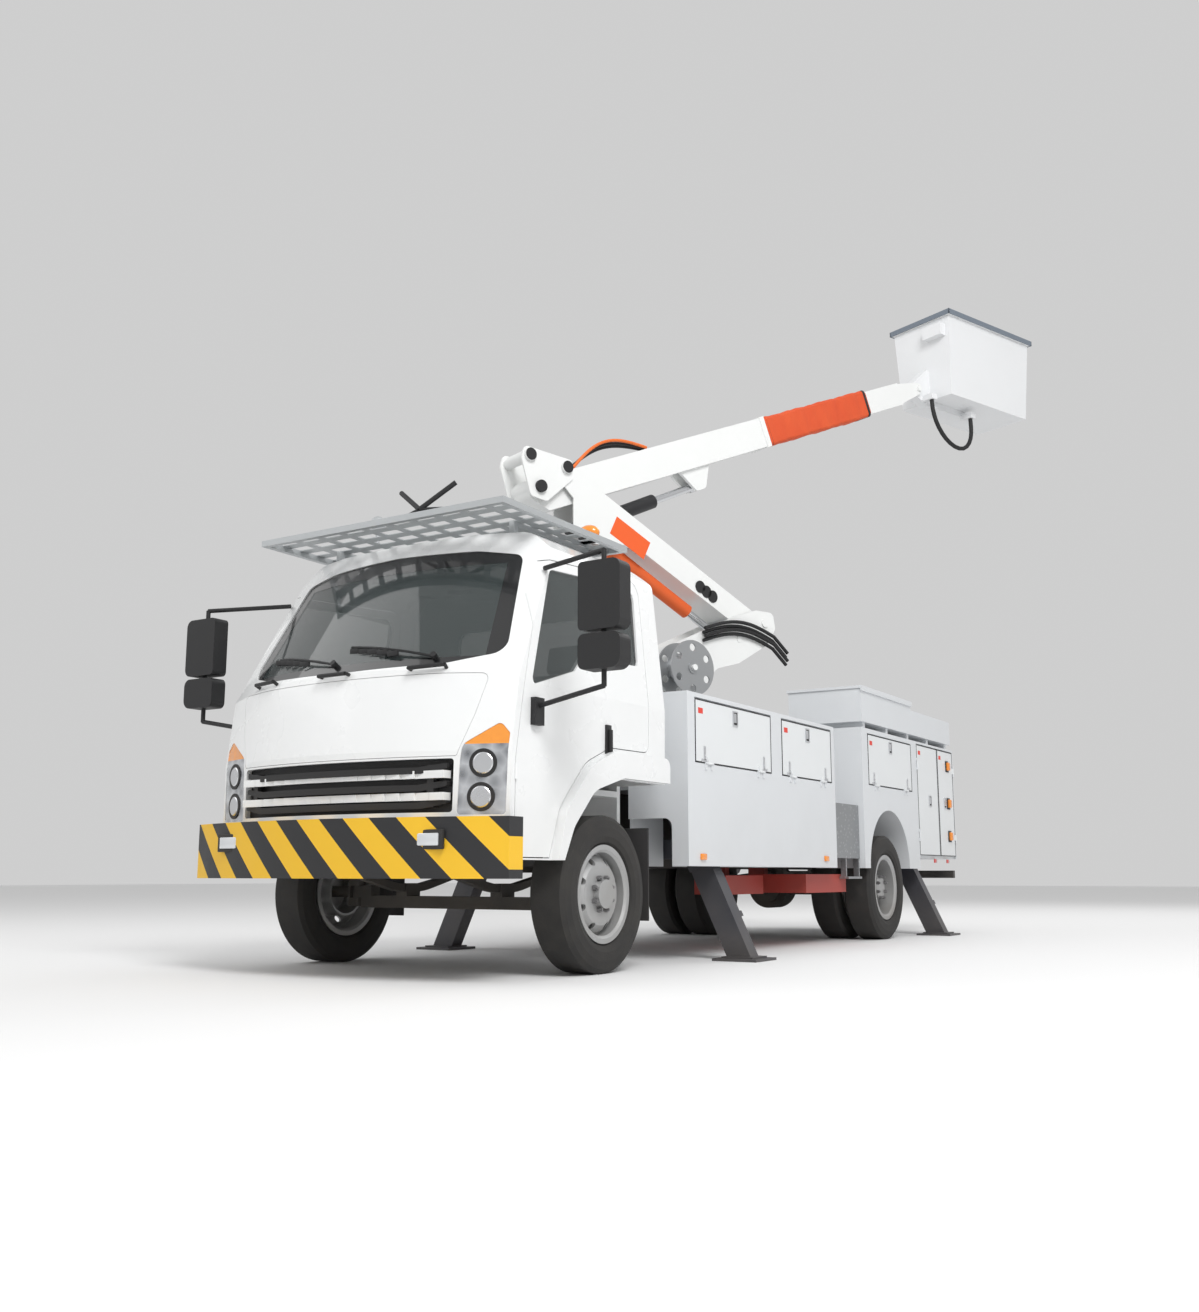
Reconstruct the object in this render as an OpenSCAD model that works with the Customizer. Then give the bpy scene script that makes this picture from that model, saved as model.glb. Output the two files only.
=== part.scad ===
// Cherry picker truck: forward-control cab, aluminium service body, slewing turret and a
// folding boom with a telescopic upper section and a work bucket.
// Front faces -Y, left side is +X, +Z is up. Every module is drawn from the centre of the
// front axle on the ground, and home() moves it to the middle of the whole model's footprint.

/* [Wheels and axles] */
// Distance between the front and rear axle
wheelbase = 5050; // [4600:10:5600]
// Outer diameter of every tyre
tyre_d = 960; // [900:5:1000]
// Width of every tyre
tyre_w = 270; // [230:5:280]
// Centre of a front tyre from the middle of the truck
front_track = 1055; // [1030:5:1070]
// Centre of an outer rear tyre from the middle of the truck
rear_track = 1052; // [1040:5:1060]
// Distance between the centres of twin tyres
twin_spacing = 330; // [310:5:340]
// Radius of the rim under the tyre bead
rim_r = 270; // [250:1:285]
// Distance of a kingpin from the middle of the truck
kingpin_x = 840; // [820:5:850]

/* [Cab] */
// Half width of the cab at the waistline
cab_half_w = 1160; // [1120:5:1180]
// Height of the roof's crown
cab_roof_z = 2740; // [2640:10:2800]
// Rear wall of the cab
cab_rear_y = 800; // [740:10:840]
// Front of the cab at the grille
cab_front_y = -1200; // [-1260:10:-1150]
// Lower edge of the cab's skin
cab_low_z = 680; // [660:10:720]
// Height of the cab floor's upper face
floor_z = 1160; // [1140:5:1190]
// Thickness of the cab's walls and doors
cab_wall = 40; // [30:1:50]
// Gap round doors and panels
panel_gap = 6; // [5:0.5:10]
// Thickness of all window glass
glass_t = 6; // [4:1:8]

/* [Service body] */
// Half width of the lockers
body_half_w = 1200; // [1180:5:1220]
// Front face of the front lockers
body_front_y = 1050; // [1040:10:1120]
// Rear face of the front lockers
front_locker_end = 3760; // [3600:10:3900]
// Front face of the rear lockers
rear_locker_start = 4440; // [4340:10:4500]
// Rear face of the rear lockers
body_rear_y = 7230; // [7100:10:7400]
// Depth of a locker from its door inwards
locker_depth = 480; // [420:10:500]
// Lower edge of the lockers
locker_low_z = 655; // [630:5:680]
// Top of the front lockers
front_locker_top = 1870; // [1800:10:1900]
// Top of the rear lockers
rear_locker_top = 1940; // [1900:10:2000]
// Thickness of the locker walls and doors
sheet = 20; // [15:1:30]
// Upper face of the deck between the lockers
deck_z = 1220; // [1200:5:1240]
// Height of the long box on the left rear locker
top_box_h = 310; // [250:10:360]

/* [Outriggers] */
// Lean of each leg from upright, in degrees
leg_lean = 25; // [20:0.5:26]
// Sideways place of a front foot
front_foot_x = 1340; // [1320:5:1345]
// Lengthwise place of the front feet
front_foot_y = 1600; // [1540:10:1700]
// Sideways place of a rear foot
rear_foot_x = 1310; // [1300:5:1345]
// Lengthwise place of the rear feet
rear_foot_y = 6130; // [6120:5:6160]
// Side of a square foot plate
foot_side = 340; // [300:10:360]
// Width of a leg across the truck
leg_w = 170; // [140:5:170]

/* [Turret and booms] */
// Angle that the booms are slewed to the left, in degrees
slew = 21; // [0:1:30]
// Slewing axis behind the front axle
slew_y = 2600; // [2560:10:2700]
// Top of the pedestal
pedestal_top = 1940; // [1900:10:1980]
// Angle of the lower boom above the horizontal, in degrees
lower_angle = 25.4; // [24:0.1:28]
// Length of the lower boom from pin to pin
lower_len = 2435; // [2400:5:2500]
// Depth of the lower boom
lower_depth = 220; // [200:5:240]
// Width of the lower boom
lower_w = 300; // [290:5:320]
// Angle of the upper boom above the horizontal, in degrees
upper_angle = 23; // [22:0.5:26]
// Length of the outer section of the upper boom in front of its pin
upper_len = 2820; // [2700:10:2900]
// Depth of the upper boom
upper_depth = 276; // [260:2:290]
// Width of the upper boom
upper_w = 216; // [200:2:220]
// Distance from the upper boom's pin to the bucket's pin
bucket_reach = 5300; // [5200:10:5500]
// Length of the fabric sleeve on the inner boom
sleeve_len = 1580; // [1400:10:1650]

/* [Bucket] */
// Length of the bucket along the boom
bucket_l = 1400; // [1200:10:1500]
// Width of the bucket
bucket_w = 740; // [700:10:800]
// Height of the bucket
bucket_h = 910; // [850:10:1000]
// Wall thickness of the bucket
bucket_t = 14; // [10:1:20]

/* [Hidden] */
$fn = 48;
fit = 0.3;                       // running gap of pins, shafts and telescoping boxes
big = 4000;                      // longer than any cut has to be

// ---- shared shapes ----

function unit(v) = v / norm(v);
function left_of(v) = [-v[1], v[0]];
function xy(v) = [v[0], v[1]];

// Outline of corners [x, y, radius], counter-clockwise, moved inwards by d
function shrink(p, d) = [
  for (i = [0 : len(p) - 1])
    let (a = xy(p[(i + len(p) - 1) % len(p)]), b = xy(p[i]), c = xy(p[(i + 1) % len(p)]))
    let (m = left_of(unit(b - a)), n = left_of(unit(c - b)))
    let (q = b + (m + n) * d / (1 + m * n))
    [q[0], q[1], max(p[i][2] - d, 0)]];

// Points of one rounded corner
function corner(a, b, c, r, n) =
  let (u = unit(a - b), v = unit(c - b), half = acos(u * v) / 2)
  let (mid = b + unit(u + v) * r / sin(half), p = b + u * r / tan(half), q = b + v * r / tan(half))
  let (s = atan2(p[1] - mid[1], p[0] - mid[0]), e = atan2(q[1] - mid[1], q[0] - mid[0]))
  let (turn = (e - s + 540) % 360 - 180)
  [for (k = [0 : n]) mid + r * [cos(s + turn * k / n), sin(s + turn * k / n)]];

// Outline with each corner [x, y, radius] rounded
function rounded(p, n = 6) = [
  for (i = [0 : len(p) - 1])
    let (a = xy(p[(i + len(p) - 1) % len(p)]), b = xy(p[i]), c = xy(p[(i + 1) % len(p)]))
    for (q = p[i][2] > 0 ? corner(a, b, c, p[i][2], n) : [b]) q];

function mirrored(p) = [for (i = [len(p) - 1 : -1 : 0]) [-p[i][0], p[i][1], p[i][2]]];

module side(flip) {
  if (flip) mirror([1, 0, 0]) children();
  else children();
}

module both_sides() {
  children();
  mirror([1, 0, 0]) children();
}

// Outline in Y and Z, drawn from x0 to x1
module across(x0, x1) {
  translate([x0, 0, 0]) rotate([90, 0, 90]) linear_extrude(x1 - x0) children();
}

// Outline in X and Z, drawn from y0 to y1
module along(y0, y1) {
  translate([0, y1, 0]) rotate([90, 0, 0]) linear_extrude(y1 - y0) children();
}

module block(x0, x1, y0, y1, z0, z1) {
  translate([x0, y0, z0]) cube([x1 - x0, y1 - y0, z1 - z0]);
}

// Round bar along X, Y or Z
module bar_x(x0, x1, y, z, r) {
  translate([x0, y, z]) rotate([0, 90, 0]) cylinder(h = x1 - x0, r = r);
}

module bar_y(x, y0, y1, z, r) {
  translate([x, y1, z]) rotate([90, 0, 0]) cylinder(h = y1 - y0, r = r);
}

module bar_z(x, y, z0, z1, r) {
  translate([x, y, z0]) cylinder(h = z1 - z0, r = r);
}

// ---- boom geometry in the slewed plane: [distance behind the slewing axis, height] ----

function turned(v, a) = [v[0] * cos(a) - v[1] * sin(a), v[0] * sin(a) + v[1] * cos(a)];
lower_pin = [1215, 2845];                                     // turret to lower boom
knuckle_top = lower_pin + turned([-lower_len, 0], -lower_angle);   // upper end of the lower boom
knuckle_front = knuckle_top + [-364, 38];                     // front pin of the knuckle plates
upper_pin = knuckle_top + [-257, -209];                       // lower boom to upper boom
upper_base = knuckle_top + [185, -469];                       // lower end of the upper lift cylinder
upper_drop = 65;                                              // pin above the upper boom's middle
eye_at = 1800;                                                // lug of the upper cylinder, along the boom
eye_drop = 150;                                               // and below the boom's underside
upper_eye = upper_pin + turned([eye_at, -upper_drop - upper_depth / 2 - eye_drop], upper_angle);
lower_base = knuckle_top + [520, -560];                       // upper end of the lower lift cylinder
lower_eye = [900, 2660];                                      // lower lift cylinder's pin on the turret
bucket_pin = upper_pin + turned([bucket_reach, -upper_drop], upper_angle);
bucket_gap = 190;                                             // bucket pin to the bucket's near wall
bucket_low = -75;                                             // bucket floor above the bucket pin
pin_r = 40;
plate_in = lower_w / 2;                                       // inner face of the knuckle plates
plate_t = 16;
turret_in = lower_w / 2 + 10;                                 // inner face of the turret plates
turret_t = 25;
upper_base_len = norm(upper_eye - upper_base);
lower_base_len = norm(lower_eye - lower_base);
inner_w = upper_w - 44;
inner_depth = upper_depth - 44;

// ---- whole model's footprint ----

mirror_out_x = 1780;                                          // outer edge of the mirrors
tail_y = body_rear_y + 70;                                    // rear face of the rear bumper
bucket_box_l = 110;                                           // tool box on the bucket's far wall
bumper_front_y = cab_front_y - 130;
function slewed(r, off) = [r * sin(slew) + off * cos(slew), slew_y + r * cos(slew) - off * sin(slew)];
bucket_far = bucket_pin[0] + bucket_gap + bucket_l + bucket_box_l;
rim_out = 25;                                                 // bucket rim outside the walls
foot_out = front_foot_x + foot_side / 2;
max_x = max(slewed(bucket_far, bucket_w / 4)[0], slewed(bucket_far - bucket_box_l + rim_out, bucket_w / 2 + rim_out)[0]);
max_y = max(slewed(bucket_far, -bucket_w / 4)[1], tail_y);
centre_x = (max(max_x, mirror_out_x) - max(mirror_out_x, foot_out)) / 2;
centre_y = (max_y + bumper_front_y) / 2;

module home() {
  translate([-centre_x, -centre_y, 0]) children();
}

// Turns X to the boom's direction, from the slewing axis
module arm_plane() {
  home() translate([0, slew_y, 0]) rotate([0, 0, 90 - slew]) children();
}

// Plate of the outline in the boom's plane, w thick and off from the middle
module slab(w, off = 0) {
  translate([0, w / 2 - off, 0]) rotate([90, 0, 0]) linear_extrude(w) children();
}

module pin(p, w, r, off = 0) {
  translate([p[0], w / 2 - off, p[1]]) rotate([90, 0, 0]) cylinder(h = w, r = r);
}

// Frame at p, with X turned up by a degrees in the boom's plane
module at_pin(p, a) {
  translate([p[0], 0, p[1]]) rotate([0, -a, 0]) children();
}

// ---- running gear ----

axle_z = tyre_d / 2;
rail_out = 430;
rail_w = 70;
rail_low = 650;
rail_top = 890;
frame_front = cab_front_y + 130;
frame_rear = body_rear_y - 60;
deck_t = 30;
ring_r = 330;                    // slewing ring and the flanges of the pedestal
pedestal_r = 240;

module chassis_frame() home() color("dimgray") {
  both_sides() difference() {
    block(rail_out - rail_w, rail_out, frame_front, frame_rear, rail_low, rail_top);
    block(rail_out - rail_w - 1, rail_out - 10, frame_front - 1, frame_rear + 1, rail_low + 10, rail_top - 10);
  }
  for (y = [frame_front + 60, 900, 2200, 3500, 4300, wheelbase + 700, frame_rear - 220])
    block(10 - rail_out, rail_out - 10, y, y + 80, rail_low + 30, rail_top - 30);
  // rear crossmember with its tow pin hole
  difference() {
    block(-520, 520, frame_rear, frame_rear + 40, rail_low - 110, rail_top);
    bar_y(0, frame_rear - 1, frame_rear + 41, rail_low + 50, 25);
  }
  block(-1150, 1150, frame_rear + 60, tail_y, 560, 640);
  for (x = [-480, 420])
    block(x, x + 60, frame_rear + 39, frame_rear + 61, 540, 650);
  // subframe under the deck
  both_sides() block(rail_out - rail_w, rail_out, body_front_y, frame_rear, rail_top, deck_z - deck_t);
  // pedestal of the turret, on a cross box between the rails
  block(1 - rail_out, rail_out - 1, slew_y - ring_r, slew_y + ring_r, rail_top, deck_z - deck_t);
  bar_z(0, slew_y, rail_top, pedestal_top, pedestal_r);
  bar_z(0, slew_y, deck_z + fit, deck_z + 30, ring_r);
  bar_z(0, slew_y, pedestal_top - 40, pedestal_top, ring_r);
}

spring_x = rail_out - rail_w / 2;
module spring(y, half_l, low) {
  points = [[y - half_l, rail_low - 20, 0], [y - half_l, rail_low - 45, 0], [y, low, 900],
            [y + half_l, rail_low - 45, 0], [y + half_l, rail_low - 20, 0], [y, low + 60, 900]];
  across(spring_x - 35, spring_x + 35) polygon(rounded(points, 10));
  for (k = [-1, 1])
    block(spring_x - 35, spring_x + 35, y + k * (half_l - 40) - 40, y + k * (half_l - 40) + 40, rail_low - 40, rail_low);
}

module axles() home() color("dimgray") {
  // front beam, its two springs and its kingpins
  block(60 - kingpin_x, kingpin_x - 60, -45, 45, axle_z - 105, axle_z - 25);
  both_sides() {
    block(kingpin_x - 150, kingpin_x - 60, -45, 45, axle_z - 105, axle_z + 45);
    block(kingpin_x - 61, kingpin_x, -40, 40, axle_z - 38, axle_z + 38);
    bar_z(kingpin_x, 0, axle_z - 38, axle_z + 38, 40);
    bar_z(kingpin_x, 0, axle_z - 100, axle_z + 100, 24);
    spring(0, 620, axle_z - 26);
    block(spring_x - 45, spring_x + 45, -70, 70, axle_z - 26, axle_z + 60);
    spring(wheelbase, 700, axle_z + 50);
  }
  // rear housing
  bar_x(-rear_track + twin_spacing + 260, rear_track - twin_spacing - 260, wheelbase, axle_z, 75);
  bar_x(-rear_track + 40, rear_track - 40, wheelbase, axle_z, 50);
  bar_y(0, wheelbase - 110, wheelbase + 120, axle_z, 205);
  bar_y(0, wheelbase - 170, wheelbase + 175, axle_z, 150);
  bar_y(0, wheelbase - 420, wheelbase, axle_z, 70);
}

module knuckle(flip) home() side(flip) color("slategray") {
  difference() {
    union() {
      bar_z(kingpin_x, 0, axle_z + 40, axle_z + 95, 44);
      bar_z(kingpin_x, 0, axle_z - 95, axle_z - 40, 44);
      block(kingpin_x + 42, kingpin_x + 60, -44, 44, axle_z - 95, axle_z + 95);
      block(kingpin_x, kingpin_x + 45, -44, 44, axle_z + 40, axle_z + 95);
      block(kingpin_x, kingpin_x + 45, -44, 44, axle_z - 95, axle_z - 40);
      bar_x(kingpin_x + 59, front_track + 95, 0, axle_z, 38);
      block(kingpin_x + 10, kingpin_x + 40, 30, 190, axle_z - 90, axle_z - 60);
    }
    bar_z(kingpin_x, 0, axle_z - 120, axle_z + 120, 24 + fit);
  }
}
module left_knuckle() knuckle(false);
module right_knuckle() knuckle(true);

// Ring turned about X from an outline in [distance along the axle, radius]
module turned_x(x, y) {
  translate([x, y, axle_z]) rotate([0, 90, 0]) rotate_extrude($fn = 96)
    mirror([1, 0]) rotate(90) children();
}

bead = 100;                      // half width of the tyre's seat on the rim
module tyre(x, y) {
  r = tyre_d / 2;
  w = tyre_w / 2;
  turned_x(x, y) polygon([
    [-bead, rim_r + fit], [bead, rim_r + fit], [bead, rim_r + 36], [w - 12, rim_r + 48], [w, r - 130],
    [w, r - 75], [w - 10, r - 28], [w - 32, r], [32 - w, r], [10 - w, r - 28], [-w, r - 75],
    [-w, r - 130], [12 - w, rim_r + 48], [-bead, rim_r + 36]]);
}

module rim_barrel(x, y) {
  turned_x(x, y) polygon([
    [-bead - 14, rim_r + 30], [-bead - fit, rim_r + 30], [-bead - fit, rim_r], [bead + fit, rim_r],
    [bead + fit, rim_r + 30], [bead + 14, rim_r + 30], [bead + 14, rim_r], [bead, rim_r - 16],
    [-bead, rim_r - 16], [-bead - 14, rim_r]]);
}

hand_holes = 8;
module rim_holes(x0, x1, y) {
  for (k = [1 : hand_holes])
    bar_x(x0, x1, y + 208 * cos(k * 45 + 22.5), axle_z + 208 * sin(k * 45 + 22.5), 22);
}

module front_rim(flip) home() side(flip) color("silver") {
  rim_barrel(front_track, 0);
  difference() {
    turned_x(front_track, 0) polygon([
      [20, rim_r - 15], [20, 246], [52, 232], [88, 190], [92, 172], [92, 39], [78, 39], [78, 170],
      [40, 226], [6, 244], [6, rim_r - 15]]);
    rim_holes(front_track, front_track + 120, 0);
  }
  difference() {
    bar_x(front_track + 40, front_track + 130, 0, axle_z, 88);
    bar_x(front_track - 1, front_track + 96, 0, axle_z, 38 + fit);
  }
  // brake drum behind the disc
  difference() {
    bar_x(front_track - 100, front_track + 79, 0, axle_z, 165);
    bar_x(front_track - 101, front_track + 60, 0, axle_z, 150);
    bar_x(front_track, front_track + 80, 0, axle_z, 38 + fit);
  }
}

module front_left_tyre() home() color("black") tyre(front_track, 0);
module front_right_tyre() home() mirror([1, 0, 0]) color("black") tyre(front_track, 0);
module front_left_rim() front_rim(false);
module front_right_rim() front_rim(true);

twin_in = rear_track - twin_spacing;
module twin_tyres(flip) home() side(flip) color("black") {
  tyre(rear_track, wheelbase);
  tyre(twin_in, wheelbase);
}

module twin_rims(flip) home() side(flip) color("silver") {
  seat = (rear_track + twin_in) / 2 - rear_track;
  rim_barrel(rear_track, wheelbase);
  rim_barrel(twin_in, wheelbase);
  difference() {
    turned_x(rear_track, wheelbase) polygon([
      [-60, rim_r - 15], [-76, rim_r - 15], [-90, 246], [seat + 20, 232], [seat + 14, 190], [seat - 14, 190],
      [seat - 20, 232], [90 - twin_spacing, 246], [76 - twin_spacing, rim_r - 15], [60 - twin_spacing, rim_r - 15],
      [70 - twin_spacing, 240], [seat - 14, 214], [seat - 14, 51], [seat + 14, 51], [seat + 14, 214], [-70, 240]]);
    rim_holes(rear_track + seat - 40, rear_track + seat + 40, wheelbase);
  }
  difference() {
    bar_x(rear_track + seat, rear_track + 60, wheelbase, axle_z, 112);
    bar_x(rear_track + seat - 1, rear_track - 39, wheelbase, axle_z, 50 + fit);
  }
}
module rear_left_tyres() twin_tyres(false);
module rear_right_tyres() twin_tyres(true);
module rear_left_rims() twin_rims(false);
module rear_right_rims() twin_rims(true);

module engine_block() home() color("gray") {
  block(-330, 330, -620, 700, rail_low - 40, floor_z - 90);
  // feet on the lower flanges of the rails
  for (y = [-480, 500])
    block(12 - rail_out, rail_out - 12, y, y + 90, rail_low + 10 + fit, rail_low + 60);
}

tank_top = rail_low - 60;
module underbody_tanks() home() color("gray") {
  both_sides() {
    // side box and its hanger on the rail
    block(500, 780, 2450, 3150, 440, tank_top);
    block(rail_out, 520, 2600, 2680, tank_top - 40, rail_low + 60);
    block(rail_out, 520, 2960, 3040, tank_top - 40, rail_low + 60);
  }
  block(560, 1080, 3350, 4250, 445, tank_top + 10);
  block(rail_out, 580, 3600, 3680, tank_top - 40, rail_low + 60);
}

// ---- cab ----

waist_z = 1700;
glass_base = [cab_front_y + 70, 1800];                        // centre of the windscreen's lower edge
front_r = 3000;                                               // curve of the cab's front seen from above
rake = 31;                                                    // windscreen's lean from upright, in degrees
nose_rake = 8;

// Upright cylinder whose front line passes through p and leans back by a degrees
module front_curve(p, a, d) {
  translate([0, p[0], p[1]]) rotate([-a, 0, 0]) translate([0, front_r, -big])
    cylinder(h = 2 * big, r = front_r - d, $fn = 180);
}

module cab_solid(d, z0) {
  w = cab_half_w - d;
  outline = [[w - 10, z0, 0], [w, waist_z, 0], [w - 95, cab_roof_z - 160, 90], [w - 260, cab_roof_z - 20 - d, 200],
             [0, cab_roof_z - d, 0], [260 - w, cab_roof_z - 20 - d, 200], [95 - w, cab_roof_z - 160, 90],
             [-w, waist_z, 0], [10 - w, z0, 0]];
  flank = [[cab_front_y - 50, z0, 0], [cab_rear_y - d, z0, 0], [cab_rear_y - d, cab_roof_z - 120, 90],
           [cab_rear_y - 120, cab_roof_z + 10 - d, 0], [cab_front_y + 900, cab_roof_z + 10 - d, 500],
           [cab_front_y + 560, cab_roof_z - 30 - d, 160], [cab_front_y - 50, waist_z + 280, 0]];
  intersection() {
    along(cab_front_y - 60, cab_rear_y + 60) polygon(rounded(outline));
    across(-big, big) polygon(rounded(flank));
    front_curve(glass_base, rake, d);
    front_curve(glass_base, nose_rake, d);
    front_curve([cab_front_y, 1200], 0, d);
  }
}

module cab_skin() {
  difference() {
    cab_solid(0, cab_low_z);
    cab_solid(cab_wall, cab_low_z - 10);
  }
}

// Side outlines in [y, z]
door_front = cab_front_y + 270;
door_rear = cab_rear_y - 215;
sill_z = cab_low_z + 10;
arch_top = 1160;
door_outline = [
  [door_front, sill_z, 0], [-575, sill_z, 0], [-470, 985, 200], [-200, 1270, 300], [90, 1385, 200],
  [door_rear - 5, 1390, 60], [door_rear + 10, cab_roof_z - 160, 120], [-560, cab_roof_z - 240, 110],
  [door_front + 75, waist_z, 500], [door_front, 1260, 0]];
window_outline = [
  [door_rear - 95, 1965, 40], [door_rear - 60, cab_roof_z - 230, 90], [-490, cab_roof_z - 300, 60],
  [-770, 1730, 30], [-760, 1690, 20], [-300, 1830, 60], [-180, 1945, 60]];
arch_outline = [
  [-505, cab_low_z - 60, 0], [850, cab_low_z - 60, 0], [850, 1195, 0], [180, 1195, 160], [-170, 1100, 260],
  [-400, 880, 200], [-505, 700, 60]];
flare_outline = [
  [-560, cab_low_z, 0], [-500, cab_low_z, 0], [-395, 880, 200], [-165, 1105, 260], [182, 1200, 160],
  [780, 1200, 0], [780, 1365, 60], [90, 1370, 200], [-200, 1255, 300], [-480, 975, 200]];
// Front outlines in [x, z]
screen_outline = [
  [0, 1800, 0], [700, 1815, 500], [1040, 1880, 80], [905, 2550, 80], [600, 2600, 500], [0, 2618, 0],
  [-600, 2600, 500], [-905, 2550, 80], [-1040, 1880, 80], [-700, 1815, 500]];
panel_outline = [[-850, 1262, 20], [850, 1262, 20], [935, 1500, 60], [1000, 1745, 40], [700, 1755, 0],
                 [-700, 1755, 0], [-1000, 1745, 40], [-935, 1500, 60]];
grille_outline = [[-830, 945, 20], [830, 945, 20], [835, 1250, 20], [-835, 1250, 20]];
lamp_outline = [[855, 930, 20], [1128, 930, 20], [1140, 1390, 20], [1085, 1455, 30], [880, 1330, 60], [868, 1230, 0]];

door_in = 1000;                  // nearest the doors come to the middle of the truck
lamp_rear = door_front - 15;
panel_t = 30;
// Barrels of the cab door's hinges, grown by d for their sockets
module hinge_lugs(d) {
  for (z = [760, 1130])
    bar_z(cab_half_w, door_front + panel_gap / 2, z - d, z + 90 + d, 9 + d);
}

module screen_prism(d) {
  along(cab_front_y - 100, -250) polygon(rounded(shrink(screen_outline, d)));
}

module cab_shell() home() color("white") {
  difference() {
    union() {
      cab_skin();
      // floor
      intersection() {
        cab_solid(cab_wall - 1, cab_low_z);
        block(-big, big, cab_front_y, cab_rear_y, floor_z - 40, floor_z);
      }
    }
    both_sides() {
      across(door_in, big) polygon(rounded(door_outline));
      across(800, big) polygon(rounded(arch_outline));
      along(cab_front_y - 100, lamp_rear) polygon(rounded(lamp_outline));
      hinge_lugs(fit);
    }
    // room for the frame rails behind the seats
    both_sides() block(rail_out - rail_w - fit, rail_out + fit, cab_rear_y - 100, cab_rear_y + 20, 0, rail_top + fit);
    screen_prism(0);
    // seat of the front panel
    difference() {
      along(cab_front_y - 100, cab_front_y + 330) polygon(rounded(panel_outline));
      cab_solid(panel_t + fit, cab_low_z - 10);
    }
    along(cab_front_y - 100, cab_front_y + 330) polygon(rounded(grille_outline));
    // rear window
    along(cab_rear_y - 100, cab_rear_y + 100)
      polygon(rounded([[-620, 1950, 70], [620, 1950, 70], [600, 2400, 70], [-600, 2400, 70]]));
  }
  both_sides() across(cab_half_w - 70, cab_half_w + 50) polygon(rounded(flare_outline));
}

module front_panel() home() color("white")
  intersection() {
    difference() {
      cab_solid(0, cab_low_z);
      cab_solid(panel_t, cab_low_z - 10);
    }
    along(cab_front_y - 100, cab_front_y + 330) polygon(rounded(shrink(panel_outline, panel_gap / 2)));
  }

module grille() home() color("gray") {
  // dark back with the bright bars in front of it
  intersection() {
    difference() {
      cab_solid(45, cab_low_z);
      cab_solid(70, cab_low_z - 10);
    }
    along(cab_front_y - 100, cab_front_y + 330) polygon(rounded(shrink(grille_outline, 0.5)));
  }
  intersection() {
    difference() {
      cab_solid(-6, cab_low_z);
      cab_solid(46, cab_low_z - 10);
    }
    along(cab_front_y - 100, cab_front_y + 330) {
      for (z = [965, 1065, 1165])
        polygon(rounded([[-800, z + 30, 8], [-640, z, 8], [640, z, 8], [800, z + 30, 8], [800, z + 60, 8],
                         [620, z + 38, 8], [-620, z + 38, 8], [-800, z + 60, 8]]));
      for (x = [-720, 680])
        polygon([[x, 975], [x + 40, 975], [x + 40, 1215], [x, 1215]]);
    }
  }
}

module headlamps() home() color("lightgray")
  both_sides() intersection() {
    difference() {
      cab_solid(4, cab_low_z);
      cab_solid(110, cab_low_z - 10);
    }
    along(cab_front_y - 100, lamp_rear - 0.5) polygon(rounded(shrink(lamp_outline, 0.5)));
  }

bumper_low = 575;
bumper_top = 915;
bumper_half = 1235;
module bumper_plan(d) {
  intersection() {
    translate([0, bumper_front_y + front_r + 300]) circle(r = front_r + 300 - d, $fn = 180);
    polygon(rounded([[d - bumper_half, cab_front_y + 240, 0], [d - bumper_half, bumper_front_y - 50, 90],
                     [bumper_half - d, bumper_front_y - 50, 90], [bumper_half - d, cab_front_y + 240, 0]]));
  }
}

module front_bumper() home() color("gold") {
  difference() {
    translate([0, 0, bumper_low]) linear_extrude(bumper_top - bumper_low) bumper_plan(0);
    translate([0, 0, bumper_low - 1]) linear_extrude(bumper_top - bumper_low - 29)
      difference() {
        bumper_plan(30);
        translate([-big, cab_front_y + 230]) square([2 * big, big]);
      }
    // room for the cab behind it
    translate([0, 0, bumper_low - 2]) linear_extrude(bumper_top) intersection() {
      translate([0, cab_front_y + front_r]) circle(r = front_r + 12, $fn = 180);
      translate([-cab_half_w - 12, cab_front_y - 100]) square([2 * cab_half_w + 24, 2000]);
    }
  }
  // brackets to the frame
  both_sides() block(rail_out - rail_w + 5, rail_out - 15, bumper_front_y + 45, frame_front + 100, 600, rail_low);
}

module cab_glass() home() color("lightblue", 0.4) {
  intersection() {
    difference() {
      cab_solid(10, cab_low_z);
      cab_solid(10 + glass_t, cab_low_z - 10);
    }
    screen_prism(0.5);
  }
  along(cab_rear_y - 24, cab_rear_y - 24 + glass_t)
    polygon(rounded(shrink([[-620, 1950, 70], [620, 1950, 70], [600, 2400, 70], [-600, 2400, 70]], 0.5)));
}

wheel_hub = [-480, -470, 1660];                               // middle of the steering wheel
module dashboard() home() color("dimgray") {
  across(-1010, 1010)
    polygon(rounded([[-900, floor_z + 60, 0], [-700, floor_z + 60, 40], [-620, 1450, 60], [-640, 1640, 50],
                     [-790, 1700, 40], [-930, 1700, 30]]));
  both_sides() block(900, 960, -850, -740, floor_z, floor_z + 61);
  // steering column and wheel
  translate(wheel_hub) rotate([-38, 0, 0]) {
    translate([0, 0, -260]) cylinder(h = 262, r = 28);
    cylinder(h = 24, r = 70);
    rotate_extrude($fn = 64) translate([205, 12]) circle(r = 14);
    for (a = [90, 210, 330])
      rotate([0, 0, a]) translate([60, -14, 4]) cube([140, 28, 14]);
  }
}

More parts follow.
